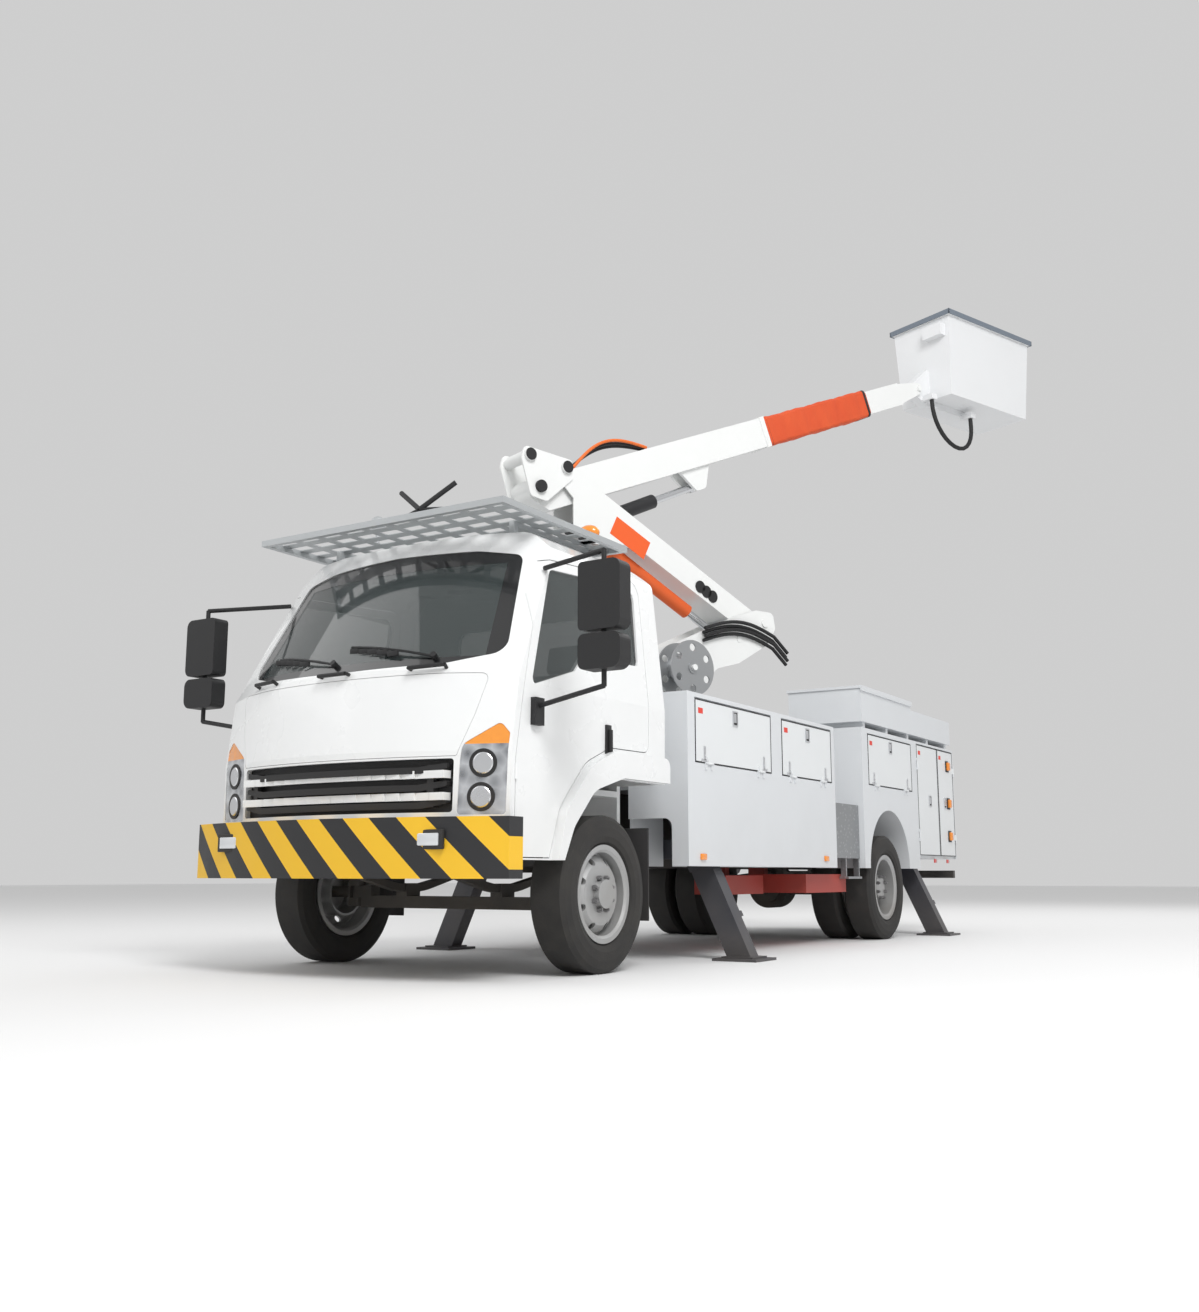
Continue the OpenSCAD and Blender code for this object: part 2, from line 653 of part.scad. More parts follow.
module seat(x) {
  translate([x, 0, 0]) {
    block(-240, 240, -60, 400, floor_z, floor_z + 92 - fit);
    along_seat = [[-110, floor_z + 92, 30], [430, floor_z + 92, 20], [430, floor_z + 230, 50], [-110, floor_z + 250, 60]];
    across(-250, 250) polygon(rounded(along_seat));
    across(-240, 240) polygon(rounded([[420, floor_z + 190, 30], [520, floor_z + 230, 40], [640, floor_z + 800, 50],
                                       [530, floor_z + 830, 50], [400, floor_z + 300, 60]]));
    across(-130, 130) polygon(rounded([[545, floor_z + 840, 30], [640, floor_z + 820, 30], [690, floor_z + 1010, 40],
                                       [590, floor_z + 1030, 40]]));
    both_sides() bar_z(60, 600, floor_z + 780, floor_z + 880, 8);
  }
}
module seats() home() color("darkslategray") {
  seat(-480);
  seat(480);
}

platform_z = cab_roof_z + 75;
module roof_platform() home() color("lightgray") {
  // plate with rows of slots, framed by tubes, on four feet
  difference() {
    block(-1010, 1010, -880, 560, platform_z, platform_z + 6);
    for (x = [-900 : 200 : 900], y = [-760 : 160 : 440])
      block(x - 70, x + 70, y - 40, y + 40, platform_z - 1, platform_z + 7);
  }
  for (y = [-880, 520])
    block(-1010, 1010, y, y + 40, platform_z - 34, platform_z + 1);
  for (x = [-1010, 970])
    block(x, x + 40, -880, 560, platform_z - 34, platform_z + 1);
  both_sides() {
    for (y = [-420, 420])
      block(720, 760, y, y + 40, cab_roof_z - 16 + fit, platform_z - 10);
    block(720, 760, -420, 460, platform_z - 34, platform_z + 1);
  }
  bar_z(-450, -350, platform_z + 5, platform_z + 130, 14);
  translate([-450, -350, platform_z + 170]) sphere(r = 52);
}

module cab_door(flip) home() side(flip) color("white") {
  difference() {
    intersection() {
      difference() {
        cab_solid(0, cab_low_z);
        cab_solid(cab_wall, cab_low_z - 10);
      }
      across(door_in, big) polygon(rounded(shrink(door_outline, panel_gap)));
    }
    across(900, big) polygon(rounded(window_outline));
  }
  hinge_lugs(0);
}
module left_door() cab_door(false);
module right_door() cab_door(true);

module door_glass(flip) home() side(flip) color("lightblue", 0.4)
  intersection() {
    difference() {
      cab_solid(14, cab_low_z);
      cab_solid(14 + glass_t, cab_low_z - 10);
    }
    across(900, big) polygon(rounded(shrink(window_outline, 0.5)));
  }
module left_door_glass() door_glass(false);
module right_door_glass() door_glass(true);

mirror_y = -760;
mirror_x = 1640;
// Round bar of radius r from p to q
module strut(p, q, r) {
  v = q - p;
  translate(p) rotate([0, acos(v[2] / norm(v)), atan2(v[1], v[0])]) cylinder(h = norm(v), r = r);
}

module mirrors(flip) home() side(flip) color("black") {
  big_head = [[1500, 1960, 30], [mirror_out_x, 1960, 50], [mirror_out_x, 2360, 50], [1500, 2360, 30]];
  small_head = [[1500, 1735, 40], [mirror_out_x, 1735, 60], [mirror_out_x, 1940, 50], [1500, 1940, 40]];
  along(mirror_y - 60, mirror_y + 60) {
    polygon(rounded(big_head));
    polygon(rounded(small_head));
  }
  // tube through both heads, and its arms to the door
  bar_z(mirror_x, mirror_y, 1640, 2430, 15);
  strut([mirror_x, mirror_y, 2428], [1073, mirror_y + 230, 2440], 15);
  strut([mirror_x, mirror_y, 1644], [1175, mirror_y + 15, 1560], 15);
  block(cab_half_w - 0.9 + fit, cab_half_w + 35, mirror_y - 30, mirror_y + 60, 1450, 1610);
}
module left_mirrors() mirrors(false);
module right_mirrors() mirrors(true);

// ---- service body ----

// Doors in [y0, y1, z0, z1]
doors = [
  [body_front_y + 115, body_front_y + 1390, 1380, front_locker_top - 42],
  [body_front_y + 1600, front_locker_end - 75, 1380, front_locker_top - 42],
  [rear_locker_start + 160, wheelbase + 770, 1420, rear_locker_top - 50],
  [wheelbase + 950, wheelbase + 1610, 790, rear_locker_top - 30],
  [wheelbase + 1630, body_rear_y - 30, 790, rear_locker_top - 30]];
hole_in = 25;                                                 // door's overlap round its opening
door_gap = 5.5;                                               // door's back face to the locker's face
locker_x = body_half_w - sheet - door_gap;                    // outer face of the locker's wall
arch_y = wheelbase + 70;
arch_r = 545;

in_x = body_half_w - locker_depth;                            // inner face of the lockers
leg_space_half = 125;
leg_way_top = 1065;                                           // way in for the beam and for the raised leg
rear_shelf_z = 1200;
shelf_z = 1330;                                               // top of the open space round the legs
notch_x = in_x + 350;
notch_z = locker_low_z + 330;

// Bay behind door d, kept between y0 and y1
module bay(d, y0 = -big, y1 = 2 * big) {
  block(in_x + sheet, big, max(y0, d[0] + hole_in), min(y1, d[1] - hole_in), d[2] + hole_in, d[3] - hole_in);
}

// Open space round a leg, and the way in for its beam
module leg_space(y, z0, z1, half) {
  block(in_x + sheet, locker_x - sheet, y - half, y + half, z0 - 1, z1);
  block(in_x - 1, in_x + sheet + 1, y - 85, y + 85, z0 - 1, leg_way_top);
}

// Two hinges of door n: the barrels over each of spans, with a leaf towards the door (way 1) or
// away from it (way -1). Doors 0 to 2 turn at their lower edge, 3 at its front and 4 at its rear.
hinge_x = body_half_w + 8 + fit;
module door_hinges(n, spans, way) {
  d = doors[n];
  for (s = spans)
    if (n < 3) {
      z = d[2] - panel_gap / 2;
      for (y = [d[0] + 200, d[1] - 200]) {
        bar_y(hinge_x, y + s[0], y + s[1], z, 8);
        block(body_half_w - 0.5, hinge_x, y + s[0], y + s[1], min(z, z + way * 45), max(z, z + way * 45));
      }
    } else {
      y = n == 3 ? d[0] - panel_gap / 2 : d[1] + panel_gap / 2;
      to = y + (n == 3 ? 27 : -27) * way;
      for (z = [d[2] + 200, d[3] - 200]) {
        bar_z(hinge_x, y, z + s[0], z + s[1], 8);
        block(body_half_w - 0.5, hinge_x, min(y, to), max(y, to), z + s[0], z + s[1]);
      }
    }
}

module lockers() home() color("lightgray")
  both_sides() {
    for (n = [0 : 4])
      door_hinges(n, [[-60, -30 - fit], [30 + fit, 60]], -1);
    difference() {
      block(in_x, locker_x, body_front_y, front_locker_end, locker_low_z, front_locker_top);
      bay(doors[0]);
      bay(doors[1]);
      leg_space(front_foot_y, locker_low_z, shelf_z, front_foot_y - body_front_y - sheet);
      block(in_x + sheet, locker_x - sheet, front_foot_y, front_locker_end - sheet, locker_low_z - 1, shelf_z);
      // notch behind the front wheel
      along(body_front_y - 1, body_front_y + sheet + 1)
        polygon(rounded([[in_x - 1, locker_low_z - 1, 0], [notch_x, locker_low_z - 1, 0], [notch_x, notch_z, 60],
                         [in_x - 1, notch_z, 0]]));
    }
    // fixed lower panels, flush with the doors, and the rolled top edge
    block(locker_x - 0.1, body_half_w, body_front_y, front_locker_end, locker_low_z, doors[0][2] - panel_gap);
    block(locker_x - 0.1, body_half_w, body_front_y, front_locker_end, front_locker_top - 32, front_locker_top);
    for (y = [[body_front_y, doors[0][0]], [doors[0][1], doors[1][0]], [doors[1][1], front_locker_end]])
      block(locker_x - 0.1, body_half_w, y[0] + (y[0] == body_front_y ? 0 : panel_gap),
            y[1] - (y[1] == front_locker_end ? 0 : panel_gap), doors[0][2] - panel_gap - 1, front_locker_top - 31);
    difference() {
      union() {
        block(in_x, locker_x, rear_locker_start, body_rear_y, locker_low_z, rear_locker_top);
        block(locker_x - 0.1, body_half_w, rear_locker_start, doors[3][0] - panel_gap, locker_low_z, rear_locker_top);
        block(locker_x - 0.1, body_half_w, doors[3][0] - panel_gap - 1, body_rear_y, rear_locker_top - 22, rear_locker_top);
        block(locker_x - 0.1, body_half_w, body_rear_y - 22, body_rear_y, locker_low_z, rear_locker_top);
      }
      bay(doors[2]);
      bay(doors[3], rear_foot_y + leg_space_half + sheet);
      block(in_x + sheet, big, doors[3][0] + hole_in, doors[3][1] - hole_in, rear_shelf_z + sheet, doors[3][3] - hole_in);
      bay(doors[4]);
      block(locker_x - door_gap, big, doors[2][0] - panel_gap, doors[2][1] + panel_gap, doors[2][2] - panel_gap, doors[2][3] + panel_gap);
      leg_space(rear_foot_y, locker_low_z, rear_shelf_z, leg_space_half);
      bar_x(in_x - 1, big, arch_y, locker_low_z, arch_r);
      block(in_x - 1, big, doors[3][0] - panel_gap - 1, body_rear_y + 1, locker_low_z - 1, doors[3][2] - 30);
    }
  }

box_low = rear_locker_top + 60;
box_in = 460;
box_out = body_half_w - 12;
box_y = [rear_locker_start + 60, body_rear_y - 30];
lid_end = wheelbase + 860;                                    // rear end of the lid
lid_t = 25;
module top_box() home() color("lightgray") {
  difference() {
    union() {
      block(box_in, box_out, box_y[0], lid_end, box_low, box_low + top_box_h);
      block(box_in, box_out, lid_end - 1, box_y[1], box_low, box_low + top_box_h - 60);
    }
    block(box_in + sheet, box_out - sheet, box_y[0] + sheet, lid_end - sheet, box_low + sheet, big);
  }
  for (y = [box_y[0] + 100 : 620 : box_y[1] - 100])
    block(in_x + 20, box_out - 30, y, y + 60, rear_locker_top, box_low);
}

module top_box_lid() home() color("lightgray") {
  block(box_in - 15, box_out + 15, box_y[0] - 15, lid_end - 5, box_low + top_box_h + fit, box_low + top_box_h + lid_t);
  block(box_out + fit, box_out + 15, box_y[0] - 15, lid_end - 5, box_low + top_box_h - 25, box_low + top_box_h + 1);
}

module deck() home() color("silver") {
  difference() {
    union() {
      block(0.5 - in_x, in_x - 0.5, body_front_y, body_rear_y, deck_z - deck_t, deck_z);
      block(-1130, 1130, front_locker_end + 1, rear_locker_start - 1, deck_z - deck_t, deck_z);
    }
    bar_z(0, slew_y, deck_z - deck_t - 1, deck_z + 1, pedestal_r + fit);
  }
  both_sides() {
    block(1129, 1150, front_locker_end + 6, rear_locker_start - 6, 740, deck_z);
    // lower step on two hangers
    block(1085, 1170, front_locker_end + 330, rear_locker_start - 20, 560, 580);
    for (y = [front_locker_end + 330, rear_locker_start - 40])
      block(1100, 1149, y, y + 20, 579, 760);
  }
}

// Locker door n, numbered from the front
module locker_door(n, flip) home() side(flip) color("whitesmoke") {
  d = doors[n];
  block(body_half_w - sheet, body_half_w, d[0], d[1], d[2], d[3]);
  door_hinges(n, [[-30, 30]], 1);
}
module left_door_1() locker_door(0, false);
module left_door_2() locker_door(1, false);
module left_door_3() locker_door(2, false);
module left_door_4() locker_door(3, false);
module left_door_5() locker_door(4, false);
module right_door_1() locker_door(0, true);
module right_door_2() locker_door(1, true);
module right_door_3() locker_door(2, true);
module right_door_4() locker_door(3, true);
module right_door_5() locker_door(4, true);

// ---- outriggers ----

leg_d = 130;                                                  // leg's size along the truck
tube_wall = 10;
leg_top = 850;                                                // leg's upper end, measured along it
tube_span = [720, 1205];                                      // ends of its tube, measured the same way
module leg_frame(x, y) {
  translate([x, y, 0]) rotate([0, -leg_lean, 0]) children();
}

module outrigger_tubes() home() color("midnightblue")
  both_sides() for (f = [[front_foot_x, front_foot_y], [rear_foot_x, rear_foot_y]])
    difference() {
      union() {
        leg_frame(f[0], f[1])
          block(-leg_w / 2 - tube_wall, leg_w / 2 + tube_wall, -leg_d / 2 - tube_wall / 2, leg_d / 2 + tube_wall / 2,
                tube_span[0], tube_span[1]);
        // beam to the frame rail
        block(rail_out, f[0] - 780 * tan(leg_lean), f[1] - leg_d / 2, f[1] + leg_d / 2, 710, 850);
      }
      leg_frame(f[0], f[1])
        block(-leg_w / 2 - fit, leg_w / 2 + fit, -leg_d / 2 - fit, leg_d / 2 + fit, tube_span[0] - 60, tube_span[1] - tube_wall);
    }

module leg(x, y, flip) home() side(flip) color("midnightblue") {
  difference() {
    leg_frame(x, y) block(-leg_w / 2, leg_w / 2, -leg_d / 2, leg_d / 2, -50, leg_top);
    block(x - 900, x + 900, y - 900, y + 900, -900, 29);
  }
  // rod of the leg's cylinder, in a lug on the rear face
  leg_frame(x, y) {
    bar_z(leg_w / 2 - 25, leg_d / 2 + 26, 330, 640, 15);
    block(leg_w / 2 - 48, leg_w / 2 - 2, leg_d / 2 - 5, leg_d / 2 + 44, 300, 340);
  }
  // bevelled foot plate
  block(x - foot_side / 2, x + foot_side / 2, y - foot_side / 2, y + foot_side / 2, 0, 18);
  block(x - foot_side / 2 + 50, x + foot_side / 2 - 50, y - foot_side / 2 + 50, y + foot_side / 2 - 50, 17, 30);
}
module front_left_leg() leg(front_foot_x, front_foot_y, false);
module front_right_leg() leg(front_foot_x, front_foot_y, true);
module rear_left_leg() leg(rear_foot_x, rear_foot_y, false);
module rear_right_leg() leg(rear_foot_x, rear_foot_y, true);

// ---- turret and booms ----

turret_low = pedestal_top + fit;
plate_low = pedestal_top + 45;
turret_outline = [
  [-280, plate_low - 1, 0], [300, plate_low - 1, 0], [620, lower_pin[1] - 475, 120], [890, lower_pin[1] - 400, 120],
  [1240, lower_pin[1] - 200, 60], [1350, lower_pin[1] - 40, 60], [1320, lower_pin[1] + 105, 50],
  [1110, lower_pin[1] + 105, 60], [830, lower_pin[1] + 10, 200], [150, lower_pin[1] - 300, 300],
  [-280, lower_pin[1] - 450, 100]];
reel_p = [84, 2289];
module turret() arm_plane() color("white") {
  bar_z(0, 0, turret_low, plate_low, ring_r);
  for (k = [-1, 1])
    slab(turret_t, k * (turret_in + turret_t / 2)) polygon(rounded(turret_outline));
  // cross plates between the two sides, clear of the boom and its cylinder
  block(-270, -240, -turret_in - 1, turret_in + 1, plate_low - 1, lower_pin[1] - 500);
  block(-240, 420, -turret_in - 1, turret_in + 1, lower_pin[1] - 640, lower_pin[1] - 610);
  pin(lower_pin, 2 * (turret_in + turret_t) + 24, pin_r);
  // stub pins each side of the lower cylinder's eye
  stub = turret_in + turret_t + 5 - 46;
  for (k = [-1, 1])
    pin(lower_eye, stub, 30, k * (46 + stub / 2));
  // reel's shaft
  pin(reel_p, 335, 25, turret_in + turret_t - 1 + 335 / 2);
}

reel_r = 232;
module hose_reel() arm_plane() color("gray") {
  reel_mid = turret_in + turret_t + 205;
  difference() {
    union() {
      for (k = [-1, 1])
        pin(reel_p, 12, reel_r, reel_mid + k * 90);
      pin(reel_p, 190, 120, reel_mid);
      pin(reel_p, 210, 50, reel_mid);
    }
    pin(reel_p, 300, 25 + fit, reel_mid);
    for (a = [30 : 60 : 330])
      pin(reel_p + turned([172, 0], a), 300, 32, reel_mid);
  }
}

boom_top = 40;                                                // boom's upper face above its pins
boom_low = boom_top - lower_depth;
web_t = 12;
// Outline of the lower boom's side in [distance from the knuckle, height above the pins]
lower_outline = [
  [-60, -110, 40], [180, boom_low, 0], [300, -430, 30], [450, -430, 60], [740, -320, 40], [820, boom_low, 0],
  [lower_len - 330, boom_low, 100], [lower_len + 60, -60, 60], [lower_len + 60, 60, 60],
  [lower_len - 120, boom_top, 60], [-60, boom_top, 40]];
module lower_boom() arm_plane() color("white") {
  at_pin(knuckle_top, -lower_angle) {
    difference() {
      for (k = [-1, 1])
        slab(web_t, k * (lower_w / 2 - web_t / 2)) polygon(rounded(lower_outline));
      pin([lower_len, 0], 400, pin_r + fit);
    }
    // top and bottom plates, left open where the upper boom and its cylinder pass
    block(1060, lower_len - 150, -lower_w / 2 + 1, lower_w / 2 - 1, boom_top - 14, boom_top - 1);
    block(900, lower_len - 380, -lower_w / 2 + 1, lower_w / 2 - 1, boom_low + 1, boom_low + 14);
  }
  // knuckle plates outside the webs
  outline = [
    knuckle_front + [-75, -40], upper_pin + [-90, -90], upper_pin + [70, -110], knuckle_top + [75, -80],
    knuckle_top + [60, 70], knuckle_front + [-50, 70]];
  for (k = [-1, 1])
    slab(plate_t, k * (plate_in + plate_t / 2 - 0.5)) polygon(rounded([for (p = outline) [p[0], p[1], 45]]));
  pin(knuckle_front, 2 * plate_in + 2, 50);
  for (p = [knuckle_front, knuckle_top])
    for (k = [-1, 1])
      pin(p, 24, 55, k * (plate_in + plate_t + 11));
  pin(upper_pin, 2 * (plate_in + plate_t) + 24, pin_r);
  pin(upper_base, lower_w - 4, 30);
  pin(lower_base, lower_w - 4, 30);
}

// Lift cylinder from p to its eye, with the barrel's pin at p
module barrel(p, q, r, rod_r, len) {
  a = atan2(q[1] - p[1], q[0] - p[0]);
  at_pin(p, a) {
    difference() {
      union() {
        translate([20, 0, 0]) rotate([0, 90, 0]) cylinder(h = len - 20, r = r);
        pin([0, 0], 90, 55);
      }
      pin([0, 0], 2 * r + 10, 30 + fit);
      translate([120, 0, 0]) rotate([0, 90, 0]) cylinder(h = len, r = rod_r + fit);
    }
  }
}

module rod(p, q, rod_r, start) {
  a = atan2(q[1] - p[1], q[0] - p[0]);
  len = norm(q - p);
  at_pin(p, a) {
    translate([start, 0, 0]) rotate([0, 90, 0]) cylinder(h = len - start, r = rod_r);
    pin([len, 0], 80, 50);
  }
}

module lower_lift_barrel() arm_plane() color("orangered") barrel(lower_base, lower_eye, 62, 34, 1010);
module lower_lift_rod() arm_plane() color("silver") rod(lower_base, lower_eye, 34, 320);
module upper_lift_barrel() arm_plane() color("black") barrel(upper_base, upper_eye, 62, 34, 950);
module upper_lift_rod() arm_plane() color("silver") rod(upper_base, upper_eye, 34, 280);

upper_mid = -upper_drop;                                      // upper boom's middle below its pin
module upper_boom() arm_plane() color("white")
  at_pin(upper_pin, upper_angle) {
    top = upper_mid + upper_depth / 2;
    low = upper_mid - upper_depth / 2;
    difference() {
      union() {
        slab(upper_w) polygon(rounded([[-90, -60, 50], [60, low, 40], [upper_len, low, 0], [upper_len, top, 0],
                                       [60, top, 40], [-60, 90, 50]]));
        pin([0, 0], 2 * plate_in - 2, 80);
        block(upper_len - 60, upper_len, -upper_w / 2 - 8, upper_w / 2 + 8, low - 8, top + 8);
        // lug of the lift cylinder
        slab(150) polygon(rounded([[eye_at - 190, low + 5, 0], [eye_at - 60, low - eye_drop - 50, 50],
                                   [eye_at + 60, low - eye_drop - 50, 50], [eye_at + 190, low + 5, 0]]));
      }
      pin([0, 0], 400, pin_r + fit);
      block(260, upper_len + 1, -inner_w / 2 - fit, inner_w / 2 + fit, upper_mid - inner_depth / 2 - fit,
            upper_mid + inner_depth / 2 + fit);
      block(eye_at - 300, eye_at + 300, -46, 46, -big, low);
    }
  }

module inner_boom() arm_plane() color("white")
  at_pin(upper_pin, upper_angle) {
    difference() {
      union() {
        block(300, bucket_reach - 330, -inner_w / 2, inner_w / 2, upper_mid - inner_depth / 2, upper_mid + inner_depth / 2);
        // forked nose with the bucket's pin
        for (k = [-1, 1])
          slab(24, k * (inner_w / 2 - 12)) polygon(rounded([
            [bucket_reach - 420, upper_mid - inner_depth / 2, 0], [bucket_reach, upper_mid - 60, 50],
            [bucket_reach + 60, upper_mid - 20, 40], [bucket_reach + 60, upper_mid + 40, 40],
            [bucket_reach - 30, upper_mid + 70, 50], [bucket_reach - 420, upper_mid + inner_depth / 2, 0]]));
      }
      block(299, bucket_reach - 400, -inner_w / 2 + 10, inner_w / 2 - 10, upper_mid - inner_depth / 2 + 10,
            upper_mid + inner_depth / 2 - 10);
    }
    pin([bucket_reach, upper_mid], inner_w + 40, 30);
  }

sleeve_t = 34;
module boom_sleeve() arm_plane() color("orangered")
  at_pin(upper_pin, upper_angle) {
    s = upper_len + 8;
    difference() {
      block(s, s + sleeve_len, -inner_w / 2 - sleeve_t, inner_w / 2 + sleeve_t, upper_mid - inner_depth / 2 - sleeve_t,
            upper_mid + inner_depth / 2 + sleeve_t);
      block(s - 1, s + sleeve_len + 1, -inner_w / 2 - fit, inner_w / 2 + fit, upper_mid - inner_depth / 2 - fit,
            upper_mid + inner_depth / 2 + fit);
    }
  }

bucket_r = [bucket_pin[0] + bucket_gap, bucket_pin[0] + bucket_gap + bucket_l];
bucket_z = [bucket_pin[1] + bucket_low, bucket_pin[1] + bucket_low + bucket_h];
taper = 45;                                                   // draft of the bucket's walls
bracket_w = inner_w - 60;
module tub(d) {
  intersection() {
    slab(big) polygon([
      [bucket_r[0] + taper + d, bucket_z[0] + d], [bucket_r[1] - taper - d, bucket_z[0] + d],
      [bucket_r[1] - d, bucket_z[1] + (d > 0 ? 1 : 0)], [bucket_r[0] + d, bucket_z[1] + (d > 0 ? 1 : 0)]]);
    rotate([90, 0, 90]) linear_extrude(2 * big) polygon([
      [taper + d - bucket_w / 2, bucket_z[0] + d], [bucket_w / 2 - taper - d, bucket_z[0] + d],
      [bucket_w / 2 - d, bucket_z[1] + (d > 0 ? 1 : 0)], [d - bucket_w / 2, bucket_z[1] + (d > 0 ? 1 : 0)]]);
  }
}

module bucket() arm_plane() color("white") {
  difference() {
    union() {
      tub(0);
      // rolled rim, tool box and the moulded pockets
      block(bucket_r[0] - rim_out, bucket_r[1] + rim_out, -bucket_w / 2 - rim_out, bucket_w / 2 + rim_out, bucket_z[1] - 45, bucket_z[1]);
      block(bucket_r[1] - 30, bucket_far, -bucket_w / 4, bucket_w / 4, bucket_z[1] - 330, bucket_z[1] - 90);
      block(bucket_r[0] - 70, bucket_r[0] + 60, -bucket_w / 2 + 60, -bucket_w / 2 + 300, bucket_z[1] - 260, bucket_z[1] - 130);
    }
    tub(bucket_t);
  }
  // bracket from the floor and the near wall to the boom's pin, and the hose's two clamps
  difference() {
    union() {
      slab(bracket_w) polygon(rounded([for (p = [
        [-55, -55, 40], [bucket_gap, bucket_low - 70, 40], [bucket_gap + 640, bucket_low - 70, 30],
        [bucket_gap + 640, bucket_low + 2, 0], [bucket_gap + 80, bucket_low + 2, 0], [bucket_gap + 80, 260, 0],
        [bucket_gap - 10, 260, 20], [-55, 55, 40]]) [bucket_pin[0] + p[0], bucket_pin[1] + p[1], p[2]]]));
      hose_clamp(hose_route[0], bracket_w / 2 - 5);
      hose_clamp(hose_route[len(hose_route) - 1], bracket_w / 2 - 5);
    }
    pin(bucket_pin, 400, 30 + fit);
    tub(bucket_t);
  }
}

// Block above the end p of the hose, reaching in to the bracket
module hose_clamp(p, inner) {
  block(p[0] - 40, p[0] + 40, -p[1] - 40, -inner, p[2], p[2] + 60);
}

// Free hose under the bucket in [distance from the bucket's pin, sideways, height above the pin]
hose_r = 22;
hose_drop = [
  [130, 150, -115], [130, 152, -160], [134, 155, -220], [146, 160, -285], [166, 166, -350], [198, 172, -412],
  [242, 177, -470], [298, 181, -520], [364, 184, -558], [436, 186, -582], [510, 187, -588], [582, 186, -574],
  [646, 183, -538], [698, 178, -486], [736, 172, -424], [760, 165, -356], [772, 158, -288], [776, 153, -226],
  [777, 150, -185]];
hose_route = [for (p = hose_drop) [bucket_pin[0] + p[0], p[1], bucket_pin[1] + p[2]]];
module bucket_hose() arm_plane() color("black") {
  sides = 10;
  n = len(hose_route);
  // each ring lies across the mean direction of its two stretches
  rings = [for (i = [0 : n - 1])
    let (d = unit(hose_route[min(i + 1, n - 1)] - hose_route[max(i - 1, 0)]), t = i == 0 || i == n - 1 ? [0, 0, i == 0 ? -1 : 1] : d)
    let (u = unit(cross(t, [0, 1, 0])), v = cross(t, u))
    for (k = [0 : sides - 1]) hose_route[i] + hose_r * (u * cos(k * 360 / sides) + v * sin(k * 360 / sides))];
  points = [for (p = rings) [p[0], -p[1], p[2]]];
  walls = [for (i = [0 : n - 2], k = [0 : sides - 1])
    let (a = i * sides + k, b = i * sides + (k + 1) % sides)
    [a, b, b + sides, a + sides]];
  ends = [[for (k = [sides - 1 : -1 : 0]) k], [for (k = [0 : sides - 1]) (n - 1) * sides + k]];
  polyhedron(points, concat(walls, ends));
}

chassis_frame();
axles();
left_knuckle();
right_knuckle();
front_left_tyre();
front_left_rim();
front_right_tyre();
front_right_rim();
rear_left_tyres();
rear_left_rims();
rear_right_tyres();
rear_right_rims();
engine_block();
underbody_tanks();
cab_shell();
front_panel();
grille();
headlamps();
front_bumper();
cab_glass();
dashboard();
seats();
roof_platform();
left_door();
right_door();
left_door_glass();
right_door_glass();
left_mirrors();
right_mirrors();
lockers();
top_box();
top_box_lid();
deck();
left_door_1();
left_door_2();
left_door_3();
left_door_4();
left_door_5();
right_door_1();
right_door_2();
right_door_3();
right_door_4();
right_door_5();
outrigger_tubes();
front_left_leg();
front_right_leg();
rear_left_leg();
rear_right_leg();
turret();
hose_reel();
lower_boom();
lower_lift_barrel();
lower_lift_rod();
upper_boom();
upper_lift_barrel();
upper_lift_rod();
inner_boom();
boom_sleeve();
bucket();
bucket_hose();
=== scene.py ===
import math

import bmesh
import bpy
from mathutils import Matrix, Vector


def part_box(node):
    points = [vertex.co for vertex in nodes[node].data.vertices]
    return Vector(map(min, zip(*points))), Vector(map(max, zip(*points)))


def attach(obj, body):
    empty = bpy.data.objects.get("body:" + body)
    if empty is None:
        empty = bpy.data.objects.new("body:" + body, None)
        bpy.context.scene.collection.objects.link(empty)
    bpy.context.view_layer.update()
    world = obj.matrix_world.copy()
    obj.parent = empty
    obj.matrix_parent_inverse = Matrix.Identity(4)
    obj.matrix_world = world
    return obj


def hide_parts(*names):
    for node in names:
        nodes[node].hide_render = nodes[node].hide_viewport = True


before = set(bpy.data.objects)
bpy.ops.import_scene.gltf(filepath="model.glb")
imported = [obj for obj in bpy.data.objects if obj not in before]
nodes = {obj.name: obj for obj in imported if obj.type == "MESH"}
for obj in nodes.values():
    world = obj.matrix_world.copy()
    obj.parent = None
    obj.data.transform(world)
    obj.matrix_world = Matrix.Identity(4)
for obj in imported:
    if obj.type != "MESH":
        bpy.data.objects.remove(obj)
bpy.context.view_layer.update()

# ---- camera ----
# Stands low in front of the truck's left corner, at a little over knee height, and looks up at the boom.
camera_data = bpy.data.cameras.new("camera")
camera_data.lens = 35.27
camera_data.sensor_width = 36.0
camera = bpy.data.objects.new("camera", camera_data)
camera.location = (5.16298, -10.00229, 0.599)
camera.rotation_euler = (math.radians(99.64), 0.0, math.radians(32.0))
bpy.context.scene.collection.objects.link(camera)
bpy.context.scene.camera = camera

# ---- boom's plane ----
# The truck's middle plane and front axle place the turret, which is slewed to the left. What is on the booms
# is measured along the boom from the slewing axis, sideways from its middle plane, and up from the ground.
MIDDLE = -0.240017
FRONT_AXLE = -3.171289
SLEW = math.radians(21.0)
SLEW_AXIS = Vector((MIDDLE, FRONT_AXLE + 2.6, 0.0))
ALONG_BOOM = Vector((math.sin(SLEW), math.cos(SLEW), 0.0))
ACROSS_BOOM = Vector((math.cos(SLEW), -math.sin(SLEW), 0.0))


def boom_point(reach, side, height):
    """A point of the boom's plane in the truck's own axes."""
    return SLEW_AXIS + ALONG_BOOM * reach + ACROSS_BOOM * side + Vector((0.0, 0.0, height))


